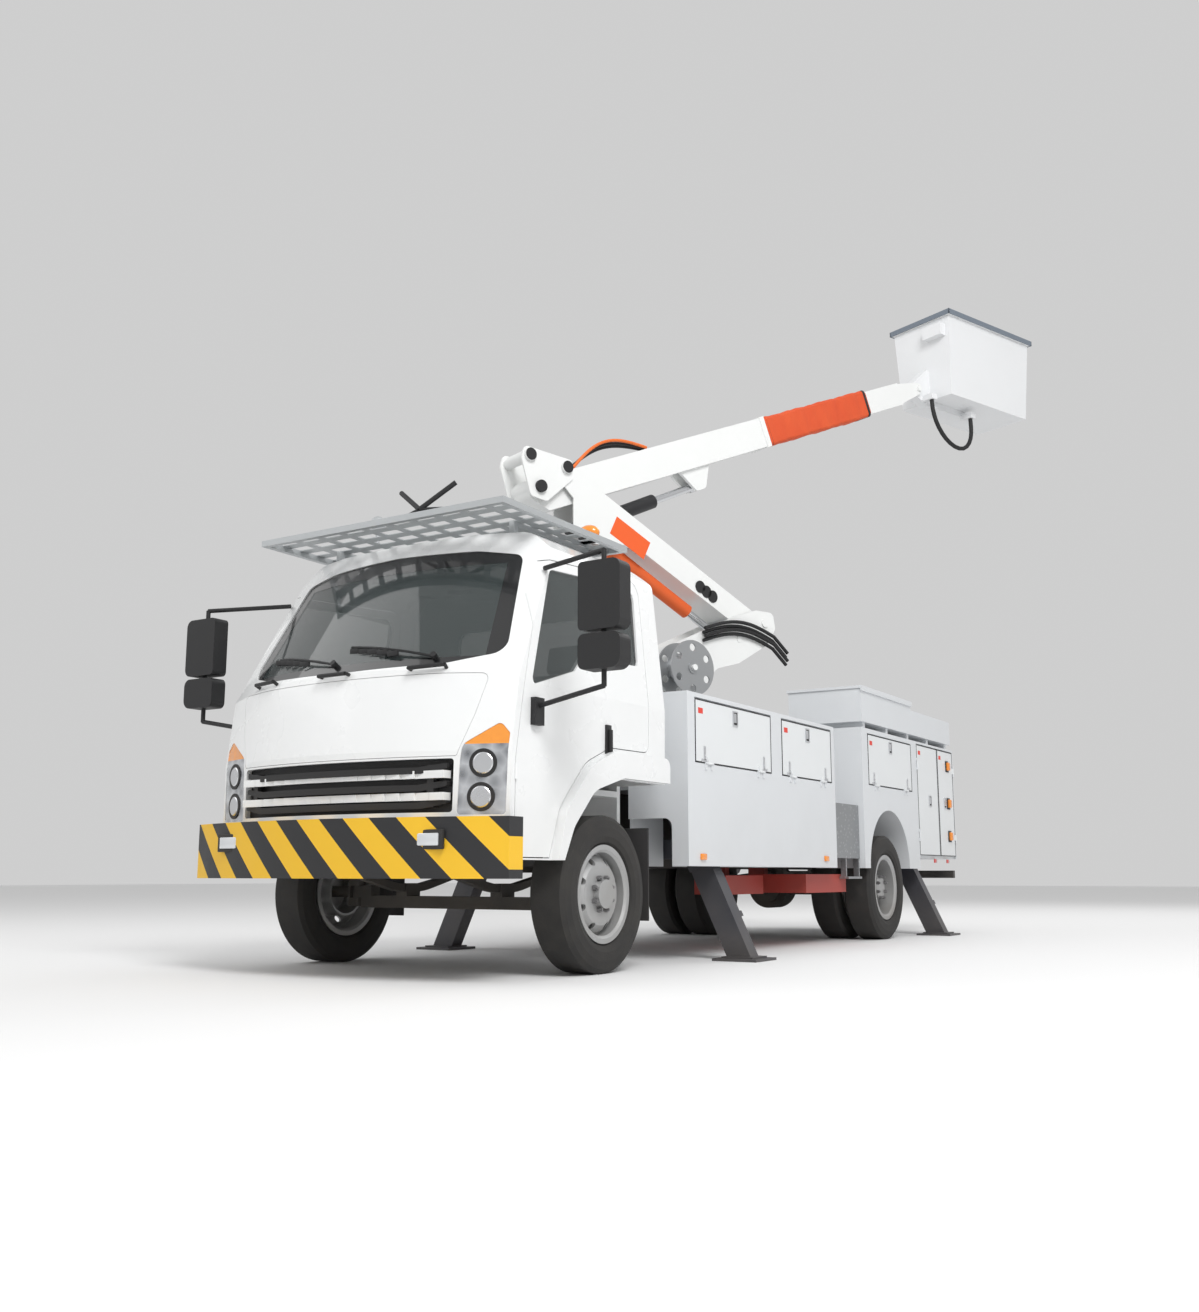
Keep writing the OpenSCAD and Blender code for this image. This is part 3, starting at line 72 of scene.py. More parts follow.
# ---- bucket's hose ----
# A black rubber hydraulic hose that hangs in one loop under the bucket, between two clamps on its bracket.
BUCKET_PIN = (3.66245, 5.6915)
HOSE_RADIUS = 0.022
hose_drop = [
    (0.130, 0.150, -0.115), (0.130, 0.152, -0.160), (0.134, 0.155, -0.220), (0.146, 0.160, -0.285),
    (0.166, 0.166, -0.350), (0.198, 0.172, -0.412), (0.242, 0.177, -0.470), (0.298, 0.181, -0.520),
    (0.364, 0.184, -0.558), (0.436, 0.186, -0.582), (0.510, 0.187, -0.588), (0.582, 0.186, -0.574),
    (0.646, 0.183, -0.538), (0.698, 0.178, -0.486), (0.736, 0.172, -0.424), (0.760, 0.165, -0.356),
    (0.772, 0.158, -0.288), (0.776, 0.153, -0.226), (0.777, 0.150, -0.185)]
hose_points = [boom_point(BUCKET_PIN[0] + r, s, BUCKET_PIN[1] + z) for r, s, z in hose_drop]
hose_length = sum((b - a).length for a, b in zip(hose_points, hose_points[1:]))


def tube_curve(name, points, radius, sides=4):
    """A round tube along points, as one curve."""
    data = bpy.data.curves.new(name, "CURVE")
    data.dimensions = "3D"
    data.bevel_depth = radius
    data.bevel_resolution = sides
    data.use_fill_caps = True
    line = data.splines.new("POLY")
    line.points.add(len(points) - 1)
    for place, point in zip(line.points, points):
        place.co = (*point, 1.0)
    line.use_smooth = True
    piece = bpy.data.objects.new(name, data)
    bpy.context.scene.collection.objects.link(piece)
    return piece


loop_hose = tube_curve("bucket_loop_hose", hose_points, HOSE_RADIUS)
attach(loop_hose, "bucket")
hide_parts("bucket_hose")


# ---- cab and body paint ----
# Sprayed gloss enamel on steel and aluminium: a faint orange peel, and road dust that fades upwards from
# the sills.
class Wire:
    """A shader socket that takes part in sums as a number would."""

    def __init__(self, finish, socket):
        self.finish = finish
        self.socket = socket

    def sum(self, operation, a, b=0.0):
        return self.finish.node("ShaderNodeMath", {"operation": operation}, [a, b])

    def __add__(self, other):
        return self.sum("ADD", self, other)

    __radd__ = __add__

    def __sub__(self, other):
        return self.sum("SUBTRACT", self, other)

    def __rsub__(self, other):
        return self.sum("SUBTRACT", other, self)

    def __mul__(self, other):
        return self.sum("MULTIPLY", self, other)

    __rmul__ = __mul__

    def __truediv__(self, other):
        return self.sum("DIVIDE", self, other)

    def over(self, level):
        return self.sum("GREATER_THAN", self, level)

    def clamp(self):
        return self.finish.node("ShaderNodeClamp", {}, [self])


class Finish:
    """A material whose nodes are written as expressions."""

    def __init__(self, name, **plain):
        self.material = bpy.data.materials.new(name)
        self.material.use_nodes = True
        self.tree = self.material.node_tree
        self.shader = self.tree.nodes["Principled BSDF"]
        self.set(**plain)
        self.place = self.node("ShaderNodeTexCoord", {}, [], "Object")

    def node(self, kind, settings, inputs, out=0):
        made = self.tree.nodes.new(kind)
        for key, value in settings.items():
            if key == "stops":
                ramp = made.color_ramp.elements
                for place, (at, colour) in enumerate(value):
                    stop = ramp[place] if place < 2 else ramp.new(at)
                    stop.position = at
                    stop.color = (*colour, 1.0)
            else:
                setattr(made, key, value)
        pairs = inputs.items() if isinstance(inputs, dict) else enumerate(inputs)
        for key, value in pairs:
            self.join(made.inputs[key], value)
        return Wire(self, made.outputs[out])

    def join(self, socket, value):
        if isinstance(value, Wire):
            self.tree.links.new(value.socket, socket)
        elif value is not None:
            if isinstance(value, tuple) and len(value) == 3 and len(socket.default_value) == 4:
                value = (*value, 1.0)
            socket.default_value = value

    def set(self, **sockets):
        for key, value in sockets.items():
            self.join(self.shader.inputs[key.replace("_", " ")], value)
        return self

    def noise(self, scale, detail=4.0, stretch=None):
        place = self.place
        if stretch:
            place = self.node("ShaderNodeMapping", {}, {"Vector": place, "Scale": stretch})
        return self.node("ShaderNodeTexNoise", {}, {"Vector": place, "Scale": scale, "Detail": detail}, "Fac")

    def axis(self, name):
        return self.node("ShaderNodeSeparateXYZ", {}, [self.place], name)

    def mix(self, share, a, b):
        made = self.tree.nodes.new("ShaderNodeMix")
        made.data_type = "RGBA"
        self.join(made.inputs[0], share)
        self.join(made.inputs[6], a)
        self.join(made.inputs[7], b)
        return Wire(self, made.outputs[2])

    def bump(self, height, depth, strength=1.0):
        normal = self.node("ShaderNodeBump", {}, {"Strength": strength, "Distance": depth, "Height": height}, "Normal")
        return self.set(Normal=normal)


def paint(name, colour, roughness, dust=0.35, coat=0.0, metallic=0.0, grain=0.0006):
    """Sprayed paint with orange peel, faint tone changes and dust low down."""
    made = Finish(name, Metallic=metallic, Coat_Weight=coat, Coat_Roughness=0.08)
    worn = made.noise(2.3, 6.0)
    low = (1.0 - made.axis("Z") / 1.3).clamp() * dust * worn
    tone = made.mix(worn * 0.25, colour, tuple(c * 0.86 for c in colour))
    made.set(Base_Color=made.mix(low, tone, (0.23, 0.2, 0.16)), Roughness=roughness + worn * 0.12 + low * 0.4)
    made.bump(made.noise(160.0, 2.0), grain, 0.4)
    return made.material


def wear(node, material):
    """Gives a node of the frame its material."""
    slots = nodes[node].data.materials
    slots.clear()
    slots.append(material)


CAB_WHITE = (0.86, 0.87, 0.87)
cab_white = paint("cab_enamel", CAB_WHITE, 0.22, coat=0.6)
for node in ("cab_shell", "front_panel", "left_door", "right_door"):
    wear(node, cab_white)
body_grey = paint("locker_enamel", (0.7, 0.72, 0.74), 0.34, dust=0.3, coat=0.2)
for node in ("lockers", "top_box", "top_box_lid"):
    wear(node, body_grey)
door_grey = paint("locker_door_enamel", (0.78, 0.8, 0.81), 0.3, dust=0.3, coat=0.25)
for side in ("left", "right"):
    for count in range(1, 6):
        wear(f"{side}_door_{count}", door_grey)
boom_white = paint("boom_enamel", (0.84, 0.85, 0.84), 0.32, dust=0.1, coat=0.3)
for node in ("turret", "lower_boom", "upper_boom", "inner_boom"):
    wear(node, boom_white)

# ---- frame, axles and underbody ----
# Ladder frame in satin black chassis paint; the pedestal above the deck is white like the turret.
black_frame = Finish("chassis_black", Roughness=0.6, Metallic=0.0)
grime = black_frame.noise(5.0, 8.0)
height = black_frame.axis("Z")
black_tone = black_frame.mix(grime * 0.6, (0.018, 0.018, 0.02), (0.09, 0.08, 0.065))
black_frame.set(Base_Color=black_frame.mix(height.over(1.25), black_tone, (0.8, 0.81, 0.8)),
                Roughness=0.45 + grime * 0.35)
black_frame.bump(grime, 0.002, 0.5)
wear("chassis_frame", black_frame.material)
cast = paint("axle_casting", (0.035, 0.035, 0.037), 0.62, dust=0.9, grain=0.003)
for node in ("axles", "left_knuckle", "right_knuckle", "engine_block"):
    wear(node, cast)
wear("underbody_tanks", paint("tank_red", (0.42, 0.03, 0.02), 0.4, dust=0.5))

# ---- tyres and wheels ----
# Ribbed truck tyres of black rubber on steel disc wheels, held by eight nuts. The tread blocks are
# cut round the tyre's crown.
rubber = Finish("tyre_rubber", Roughness=0.8)
scuff = rubber.noise(9.0, 8.0)
rubber.set(Base_Color=rubber.mix(scuff * 0.7, (0.012, 0.012, 0.013), (0.06, 0.055, 0.048)),
           Roughness=0.7 + scuff * 0.2)
rubber.bump(rubber.noise(90.0, 5.0), 0.002, 0.6)
rim_silver = paint("rim_silver", (0.5, 0.51, 0.52), 0.36, dust=0.9, metallic=0.55)
nut_steel = paint("nut_steel", (0.3, 0.3, 0.31), 0.4, dust=0.5, metallic=0.9)


def new_piece(name, work, material, body, smooth=30.0):
    """Turns a bmesh into a piece of the truck that rides on body."""
    bmesh.ops.remove_doubles(work, verts=work.verts, dist=1e-5)
    bmesh.ops.recalc_face_normals(work, faces=work.faces)
    data = bpy.data.meshes.new(name)
    work.to_mesh(data)
    work.free()
    data.materials.append(material)
    piece = bpy.data.objects.new(name, data)
    bpy.context.scene.collection.objects.link(piece)
    if smooth:
        data.shade_smooth()
        data.set_sharp_from_angle(angle=math.radians(smooth))
    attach(piece, body)
    return piece


def add_box(work, low, high, bevel=0.0):
    """A block between two corners, with its edges bevelled where a bevel is given."""
    low, high = Vector(low), Vector(high)
    place = Matrix.Translation((low + high) / 2) @ Matrix.Diagonal((*(high - low), 1.0))
    made = bmesh.ops.create_cube(work, size=1.0, matrix=place)
    if bevel:
        edges = list({e for v in made["verts"] for e in v.link_edges})
        bmesh.ops.bevel(work, geom=edges, offset=bevel, affect="EDGES", segments=2, profile=0.5, material=-1)


def add_rod(work, start, end, radius, sides=20, end_radius=None):
    """A round bar from start to end, tapered where its end has a radius of its own."""
    start, end = Vector(start), Vector(end)
    way = end - start
    turn = way.to_track_quat("Z", "Y").to_matrix().to_4x4()
    bmesh.ops.create_cone(work, cap_ends=True, segments=sides, radius1=radius, radius2=end_radius or radius,
                          depth=way.length, matrix=Matrix.Translation((start + end) / 2) @ turn)


TREAD_ROWS = 5
TREAD_BLOCKS = 56
FIRST_ROW, ROW_PITCH = 0.13, 0.155
BLOCK_SINK, BLOCK_SKEW = 0.0085, 0.25
BLOCK_SHARE, BLOCK_LENGTH, BLOCK_HEIGHT = 0.125, 0.04, 0.0145
TWIN_WIDTH = 0.27


def dress_wheel(tyre_node, rim_node, body, bands):
    """Colours one body's tyre and rim, and sets tread blocks round the crown of each tyre's band."""
    wear(tyre_node, rubber.material)
    wear(rim_node, rim_silver)
    low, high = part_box(tyre_node)
    centre = (Vector(low) + Vector(high)) / 2
    radius = (high[2] - low[2]) / 2
    tread = bmesh.new()
    for x0, x1 in bands:
        width = x1 - x0
        size = Matrix.Diagonal((width * BLOCK_SHARE, BLOCK_LENGTH, BLOCK_HEIGHT, 1.0))
        for row in range(TREAD_ROWS):
            start = x0 + width * (FIRST_ROW + ROW_PITCH * row)
            crown = Matrix.Translation((start + width * 0.06 - centre.x, 0, radius - BLOCK_SINK))
            skew = Matrix.Rotation(BLOCK_SKEW * (-1) ** row, 4, "Z")
            for step in range(TREAD_BLOCKS):
                turn = 2 * math.pi * (step + 0.5 * (row % 2)) / TREAD_BLOCKS
                block = Matrix.Rotation(turn, 4, "X") @ crown
                bmesh.ops.create_cube(tread, size=1.0, matrix=Matrix.Translation(centre) @ block @ skew @ size)
    new_piece(body + "_tread", tread, rubber.material, body, 0)


for side in ("left", "right"):
    low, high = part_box(f"front_{side}_tyre")
    dress_wheel(f"front_{side}_tyre", f"front_{side}_rim", f"front_{side}_wheel", [(low[0], high[0])])
    low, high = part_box(f"rear_{side}_tyres")
    dress_wheel(f"rear_{side}_tyres", f"rear_{side}_rims", f"rear_{side}_wheels",
                [(low[0], low[0] + TWIN_WIDTH), (high[0] - TWIN_WIDTH, high[0])])

# ---- bumper, grille and lamps ----
# Pressed steel bumper in black with sprayed yellow slanting stripes; a bright bar grille between two
# lamp units behind clear covers.
stripes = Finish("bumper_stripes", Roughness=0.4)
slant = stripes.axis("X") + stripes.axis("Z")
band = stripes.node("ShaderNodeMath", {"operation": "FRACT"}, [slant / 0.36]).over(0.5)
rub = stripes.noise(7.0, 8.0)
stripes.set(Base_Color=stripes.mix(band, (0.02, 0.02, 0.022), (0.85, 0.5, 0.02)), Roughness=0.3 + rub * 0.3)
stripes.bump(stripes.noise(120.0, 2.0), 0.0006, 0.4)
wear("front_bumper", stripes.material)
black_trim = paint("black_plastic", (0.014, 0.014, 0.015), 0.5, dust=0.3, grain=0.0015)
for node in ("left_mirrors", "right_mirrors", "dashboard", "grille"):
    wear(node, black_trim)
lamp = Finish("lamp_cover", Roughness=0.06, Metallic=0.0, Coat_Weight=1.0)
flutes = lamp.node("ShaderNodeTexVoronoi", {}, {"Vector": lamp.place, "Scale": 14.0}, "Distance")
amber_band = (lamp.axis("Z") - 1.33).over(0.0)
clear_tone = lamp.mix(flutes, (0.2, 0.21, 0.23), (0.75, 0.77, 0.8))
lamp.set(Base_Color=lamp.mix(amber_band, clear_tone, (0.85, 0.3, 0.03)), Metallic=0.7 - 0.7 * amber_band)
lamp.bump(flutes, 0.01, 0.5)
wear("headlamps", lamp.material)

# ---- glass ----
# Lightly tinted laminated glass, bonded in place. A printed black border hides the bond along its edges.
# The windscreen's border is broad at its top and foot, and narrow at its sides.
def window_glass(name, borders):
    """Tinted glass whose edge carries a printed black border, given as masks of its own places."""
    made = Finish(name, Roughness=0.03, Coat_Weight=1.0)
    border = borders(made)
    made.set(Base_Color=made.mix(border, (0.045, 0.06, 0.06), (0.006, 0.006, 0.007)), Alpha=0.5 + 0.5 * border,
             Roughness=0.03 + 0.25 * border)
    made.bump(made.noise(3.0, 2.0), 0.0005, 0.3)
    return made.material


def screen_border(made):
    """The windscreen's border: wider at the top and bottom than at the sides."""
    off = made.node("ShaderNodeMath", {"operation": "ABSOLUTE"}, [made.axis("X") + 0.24])
    high = made.axis("Z")
    side = (off - 1.20 + (high - 1.8) * 0.16 + 0.27).over(0.0)
    return (side + high.over(2.5) + (1.86 - high).over(0.0)).clamp()


wear("cab_glass", window_glass("windscreen_glass", screen_border))
for node in ("left_door_glass", "right_door_glass"):
    low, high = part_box(node)
    edges = (low[1] + 0.035, high[1] - 0.035, low[2] + 0.03, high[2] - 0.03)
    wear(node, window_glass(node + "_tint", lambda made, e=edges: (
        (e[0] - made.axis("Y")).over(0.0) + (made.axis("Y") - e[1]).over(0.0)
        + (made.axis("Z") - e[3]).over(0.0)).clamp()))


def touch(node, start, way):
    """Where a line from start meets a node's surface, and the surface's outward direction there."""
    hit, place, normal, _ = nodes[node].ray_cast(Vector(start), Vector(way).normalized())
    return (place, normal) if hit else (Vector(start), Vector(way) * -1.0)


# ---- wipers and grab bars ----
# Two black steel wiper arms, each on a spindle, parked along the foot of the windscreen. Below it are three
# short grab bars of black tube, each on two posts.
FAR_AHEAD = -6.0
WIPER_Z = 1.86
WIPER_STEPS = 8
wipers = bmesh.new()
for pivot, tip in ((0.62, -0.02), (-0.1, -0.74)):
    path = []
    for step in range(WIPER_STEPS + 1):
        x = MIDDLE + pivot + (tip - pivot) * step / WIPER_STEPS
        z = WIPER_Z + 0.11 * step / WIPER_STEPS
        place, normal = touch("cab_glass", (x, FAR_AHEAD, z), (0, 1, 0))
        path.append(place + normal * (0.012 + 0.02 * math.sin(math.pi * step / WIPER_STEPS)))
    for a, b in zip(path, path[1:]):
        add_rod(wipers, a, b, 0.008, 10)
    for a, b in zip(path[3:], path[4:]):
        blade = Vector((b.x, b.y, a.z - 0.012)) + Vector((-0.004, -0.012, -0.02))
        add_box(wipers, blade, Vector((a.x, a.y, a.z)), 0.002)
    base, normal = touch("cab_glass", (MIDDLE + pivot, FAR_AHEAD, WIPER_Z), (0, 1, 0))
    add_rod(wipers, base, base + normal * 0.035, 0.02, 16)
new_piece("wipers", wipers, black_trim, "chassis")
bars = bmesh.new()
for middle in (-0.72, -0.05, 0.62):
    ends = []
    for off in (-0.11, 0.11):
        place, normal = touch("cab_shell", (MIDDLE + middle + off, FAR_AHEAD, 1.785), (0, 1, 0))
        ends.append(place + normal * 0.035)
        add_rod(bars, place, place + normal * 0.04, 0.011, 12)
    add_rod(bars, ends[0], ends[1], 0.013, 14)
new_piece("grab_bars", bars, black_trim, "chassis")

# ---- door handles and side lamps of the cab ----
# A black plastic handle stands upright on a plate behind each door's window, and a clear lamp is let into
# each low front corner.
clear = paint("clear_lens", (0.75, 0.77, 0.79), 0.1, dust=0.1, coat=1.0, metallic=0.3)
amber = paint("amber_lens", (0.9, 0.28, 0.02), 0.18, dust=0.0, coat=1.0)
red_lens = paint("red_lens", (0.6, 0.02, 0.015), 0.18, dust=0.0, coat=1.0)
FAR_ASIDE = 2.0
for side, sign in (("left", 1), ("right", -1)):
    plates = bmesh.new()
    skin, _ = touch(f"{side}_door", (MIDDLE + sign * FAR_ASIDE, FRONT_AXLE + 0.06, 1.42), (-sign, 0, 0))
    add_box(plates, (skin.x - 0.004, skin.y - 0.032, 1.33), (skin.x + sign * 0.012, skin.y + 0.032, 1.53), 0.003)
    add_box(plates, (skin.x + sign * 0.01, skin.y - 0.014, 1.36), (skin.x + sign * 0.034, skin.y + 0.014, 1.5), 0.005)
    new_piece(f"{side}_door_handle", plates, black_trim, f"{side}_cab_door")
    lens = bmesh.new()
    skin, _ = touch("cab_shell", (MIDDLE + sign * FAR_ASIDE, FRONT_AXLE - 0.99, 0.86), (-sign, 0, 0))
    add_box(lens, (skin.x - 0.01, skin.y - 0.06, 0.82), (skin.x + sign * 0.012, skin.y + 0.06, 0.9), 0.004)
    new_piece(f"{side}_corner_lamp", lens, clear, "chassis")

# ---- locker doors ----
# Pressed aluminium doors on dark rubber gaskets, with bright hinge strips along the lower edges, chrome
# T-plates, and chromed paddle latches sunk in a dish.
gasket = paint("gasket_rubber", (0.02, 0.02, 0.022), 0.7, dust=0.2)
bright = paint("bright_metal", (0.72, 0.73, 0.75), 0.22, dust=0.1, metallic=0.95)
sticker_red = paint("sticker_red", (0.75, 0.05, 0.03), 0.4, dust=0.0)
LOCKER_FACE = 1.2
SEAL = 0.007
HINGE_GAP = 0.011
LAMP_HEIGHTS = (1.75, 1.35, 1.0)
for side, sign in (("left", 1), ("right", -1)):
    for count in range(1, 6):
        node = f"{side}_door_{count}"
        body = f"{side}_locker_door_{count}"
        low, high = (Vector(p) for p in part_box(node))
        face = MIDDLE + sign * LOCKER_FACE
        z0, z1 = low.z + (0.01 if count < 4 else 0.0), high.z
        y0, y1 = low.y, high.y
        if count == 4:
            y0 += HINGE_GAP
        if count == 5:
            y1 -= HINGE_GAP
        seal = bmesh.new()
        for a, b in (((y0, z0), (y0 + SEAL, z1)), ((y1 - SEAL, z0), (y1, z1)), ((y0, z1 - SEAL), (y1, z1)),
                     ((y0, z0), (y1, z0 + SEAL))):
            add_box(seal, (face - sign * 0.002, a[0], a[1]), (face + sign * 0.0022, b[0], b[1]))
        new_piece(f"{node}_gasket", seal, gasket, body, 0)
        trim = bmesh.new()
        back, front = face - sign * 0.001, face + sign * 0.006
        screws = []
        if count < 4:
            for y in (y0 + 0.14, y1 - 0.14):
                add_box(trim, (back, y - 0.05, z0 + 0.004), (front, y + 0.05, z0 + 0.028), 0.002)
                add_box(trim, (back, y - 0.014, z0 + 0.02), (front, y + 0.014, z0 + 0.12), 0.002)
                screws += [(y + dy, z0 + dz) for dy, dz in ((-0.04, 0.016), (0.04, 0.016), (0.0, 0.05), (0.0, 0.105))]
            latch_y, latch_z = (y0 + y1) / 2, z1 - 0.085
        else:
            latch_y, latch_z = (y0 + y1) / 2 + (0.05 if count == 4 else -0.05), (z0 + z1) / 2
        for y, z in screws:
            add_rod(trim, (face, y, z), (face + sign * 0.01, y, z), 0.006, 10)
        for (ya, za), (yb, zb) in (((-0.04, -0.058), (0.04, -0.046)), ((-0.04, 0.046), (0.04, 0.058)),
                                   ((-0.04, -0.05), (-0.03, 0.05)), ((0.03, -0.05), (0.04, 0.05))):
            add_box(trim, (back, latch_y + ya, latch_z + za), (face + sign * 0.009, latch_y + yb, latch_z + zb), 0.002)
        add_box(trim, (face, latch_y - 0.02, latch_z - 0.03),
                (face + sign * 0.007, latch_y + 0.02, latch_z + 0.04), 0.003)
        new_piece(f"{node}_latch", trim, bright, body)
        dish = bmesh.new()
        add_box(dish, (back, latch_y - 0.032, latch_z - 0.048), (face + sign * 0.003, latch_y + 0.032, latch_z + 0.048))
        new_piece(f"{node}_dish", dish, gasket, body, 0)
        labels = bmesh.new()
        add_box(labels, (back, y0 + 0.05, z1 - 0.1), (face + sign * 0.0012, y0 + 0.12, z1 - 0.06))
        new_piece(f"{node}_label", labels, sticker_red, body, 0)
    lamps = bmesh.new()
    for y, z in ((1.26, 0.72), (3.51, 0.73)):
        add_box(lamps, (MIDDLE + sign * 1.198, FRONT_AXLE + y - 0.04, z - 0.022),
                (MIDDLE + sign * 1.216, FRONT_AXLE + y + 0.04, z + 0.022), 0.006)
    for z in LAMP_HEIGHTS:
        add_box(lamps, (MIDDLE + sign * 1.2, 3.80, z - 0.045), (MIDDLE + sign * 1.235, 3.87, z + 0.045), 0.012)
    new_piece(f"{side}_amber_markers", lamps, amber, "chassis")
    bases = bmesh.new()
    for z in LAMP_HEIGHTS:
        add_box(bases, (MIDDLE + sign * 1.199, 3.785, z - 0.06), (MIDDLE + sign * 1.208, 3.885, z + 0.06), 0.004)
    new_piece(f"{side}_lamp_bases", bases, black_trim, "chassis")
    reflectors = bmesh.new()
    for y in (3.30, 3.72):
        add_box(reflectors, (MIDDLE + sign * 1.198, y - 0.04, 0.715), (MIDDLE + sign * 1.207, y + 0.04, 0.755), 0.003)
    new_piece(f"{side}_reflectors", reflectors, red_lens, "chassis")

# ---- bumper lamps ----
# Two oblong fog lamps with clear lenses are let into the bumper, one at each side, in black plastic
# surrounds that stand a little proud of it.
for side, sign in (("left", 1), ("right", -1)):
    x = MIDDLE + sign * 0.78
    face, _ = touch("front_bumper", (x, FAR_AHEAD, 0.79), (0, 1, 0))
    surround = bmesh.new()
    add_box(surround, (x - 0.11, face.y - 0.006, 0.735), (x + 0.11, face.y + 0.02, 0.845), 0.006)
    new_piece(f"{side}_fog_surround", surround, black_trim, "chassis")
    lens = bmesh.new()
    add_box(lens, (x - 0.085, face.y - 0.014, 0.755), (x + 0.085, face.y, 0.825), 0.006)
    new_piece(f"{side}_fog_lamp", lens, clear, "chassis")

# ---- lamp reflectors and grille bars ----
# Two round chromed reflectors, each in a black ring, stand one above the other in each lamp. Two bars in
# the cab's colour follow the grille's curve from side to side.
for side, sign in (("left", 1), ("right", -1)):
    rings, bowls = bmesh.new(), bmesh.new()
    for z, off in ((1.03, 0.99), (1.22, 1.0)):
        face, normal = touch("headlamps", (MIDDLE + sign * off, FAR_AHEAD, z), (0, 1, 0))
        add_rod(rings, face - normal * 0.004, face + normal * 0.005, 0.082, 32)
        add_rod(bowls, face, face + normal * 0.009, 0.068, 32, end_radius=0.055)
    new_piece(f"{side}_lamp_rings", rings, black_trim, "chassis")
    new_piece(f"{side}_lamp_bowls", bowls, bright, "chassis")
SLAT_STEPS = 16
slats = bmesh.new()
for z in (1.035, 1.16):
    path = []
    for step in range(SLAT_STEPS + 1):
        x = MIDDLE - 0.8 + 1.6 * step / SLAT_STEPS
        face, _ = touch("grille", (x, FAR_AHEAD, z), (0, 1, 0))
        face_low, _ = touch("front_panel", (x, FAR_AHEAD, 1.3), (0, 1, 0))
        path.append(Vector((x, min(face.y, face_low.y + 0.02) - 0.004, z)))
    for a, b in zip(path, path[1:]):
        add_box(slats, (a.x - 0.001, min(a.y, b.y) - 0.006, z - 0.022),
                (b.x + 0.001, max(a.y, b.y) + 0.012, z + 0.022))
new_piece("grille_slats", slats, cab_white, "chassis")

# ---- wheel nuts ----
# Eight hexagonal steel nuts hold each wheel's disc to its hub, and the end of a stud stands out of
# each nut.
NUTS = 8
NUT_CIRCLE = 0.104
for side, sign in (("left", 1), ("right", -1)):
    for node, body in ((f"front_{side}_rim", f"front_{side}_wheel"), (f"rear_{side}_rims", f"rear_{side}_wheels")):
        low, high = (Vector(p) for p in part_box(node))
        middle = (low + high) / 2
        nuts = bmesh.new()
        for step in range(NUTS):
            turn = 2 * math.pi * (step + 0.5) / NUTS
            y, z = middle.y + NUT_CIRCLE * math.cos(turn), middle.z + NUT_CIRCLE * math.sin(turn)
            face, _ = touch(node, (middle.x + sign * 0.6, y, z), (-sign, 0, 0))
            add_rod(nuts, (face.x - sign * 0.002, y, z), (face.x + sign * 0.024, y, z), 0.0155, 6)
            add_rod(nuts, (face.x, y, z), (face.x + sign * 0.034, y, z), 0.009, 12)
        new_piece(body + "_nuts", nuts, nut_steel, body)

# ---- markings, caps and hoses of the booms ----
# An orange-red warning panel and an oval black cover on each side of the lower boom, black caps over the
# knuckle's pins, and hydraulic hoses: four that leave the turret, and three on the upper boom.
def boom_disc(work, reach, height, out, radius, thick):
    """A round cap that lies on the boom's side."""
    add_rod(work, boom_point(reach, out, height), boom_point(reach, out + thick, height), radius, 28)


def along(pin, angle, reach, up):
    """Reach and height of a point measured along a boom from its pin, and above its pin's line."""
    return (pin[0] + reach * math.cos(angle) - up * math.sin(angle),
            pin[1] + reach * math.sin(angle) + up * math.cos(angle))


def upper_boom_point(reach, side, up):
    """A point of the upper boom in the truck's own axes."""
    r, z = along(UPPER_PIN, RAISED, reach, up)
    return boom_point(r, side, z)


def join_rings(work, rings):
    """Makes the faces between each ring of corners and the next."""
    for near, far in zip(rings, rings[1:]):
        for k in range(len(near)):
            after = (k + 1) % len(near)
            work.faces.new((near[k], near[after], far[after], far[k]))


hose_black = paint("hose_rubber", (0.012, 0.012, 0.013), 0.6, dust=0.0, grain=0.002)
KNUCKLE_TOP = (-0.98462, 3.88946)
LIFT = math.radians(-25.4)
UPPER_PIN = (-1.24162, 3.68046)
RAISED = math.radians(23.0)
BOOM_SIDE = 0.1495
for side, sign in (("near", 1), ("far", -1)):
    panel = bmesh.new()
    corners = [along(KNUCKLE_TOP, LIFT, reach, up)
               for reach, up in ((0.62, -0.06), (1.02, -0.06), (1.02, -0.235), (0.62, -0.235))]
    faces = [[panel.verts.new(boom_point(r, sign * out, z)) for r, z in corners] for out in (BOOM_SIDE, 0.1512)]
    panel.faces.new(faces[0])
    panel.faces.new(faces[1])
    join_rings(panel, faces)
    panel_orange = paint(f"{side}_panel_orange", (0.85, 0.12, 0.02), 0.4, dust=0.0)
    new_piece(f"{side}_boom_panel", panel, panel_orange, "lower_boom", 0)
    caps = bmesh.new()
    for reach, height in ((KNUCKLE_TOP[0] - 0.364, KNUCKLE_TOP[1] + 0.038), KNUCKLE_TOP, UPPER_PIN):
        boom_disc(caps, reach, height, sign * 0.166, 0.05, sign * 0.03)
    for reach in (1.66, 1.74, 1.82):
        boom_disc(caps, *along(KNUCKLE_TOP, LIFT, reach, -0.1), sign * BOOM_SIDE, 0.055, sign * 0.008)
    new_piece(f"{side}_boom_caps", caps, black_trim, "lower_boom")
TURRET_HOSE_STEPS = 24
for count in range(4):
    path = []
    for step in range(TURRET_HOSE_STEPS + 1):
        share = step / TURRET_HOSE_STEPS
        r = 0.45 + 1.0 * share
        arch = 0.10 * math.sin(math.pi * min(share * 1.15, 1.0))
        z = 2.60 + arch + 0.035 * count - 0.12 * max(share - 0.85, 0) / 0.15
        path.append(boom_point(r, 0.21 + 0.022 * (count % 2), z))
    hose = tube_curve(f"turret_hose_{count}", path, 0.016, 3)
    hose.data.materials.append(hose_black)
    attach(hose, "turret")
UPPER_HOSE_STEPS = 20
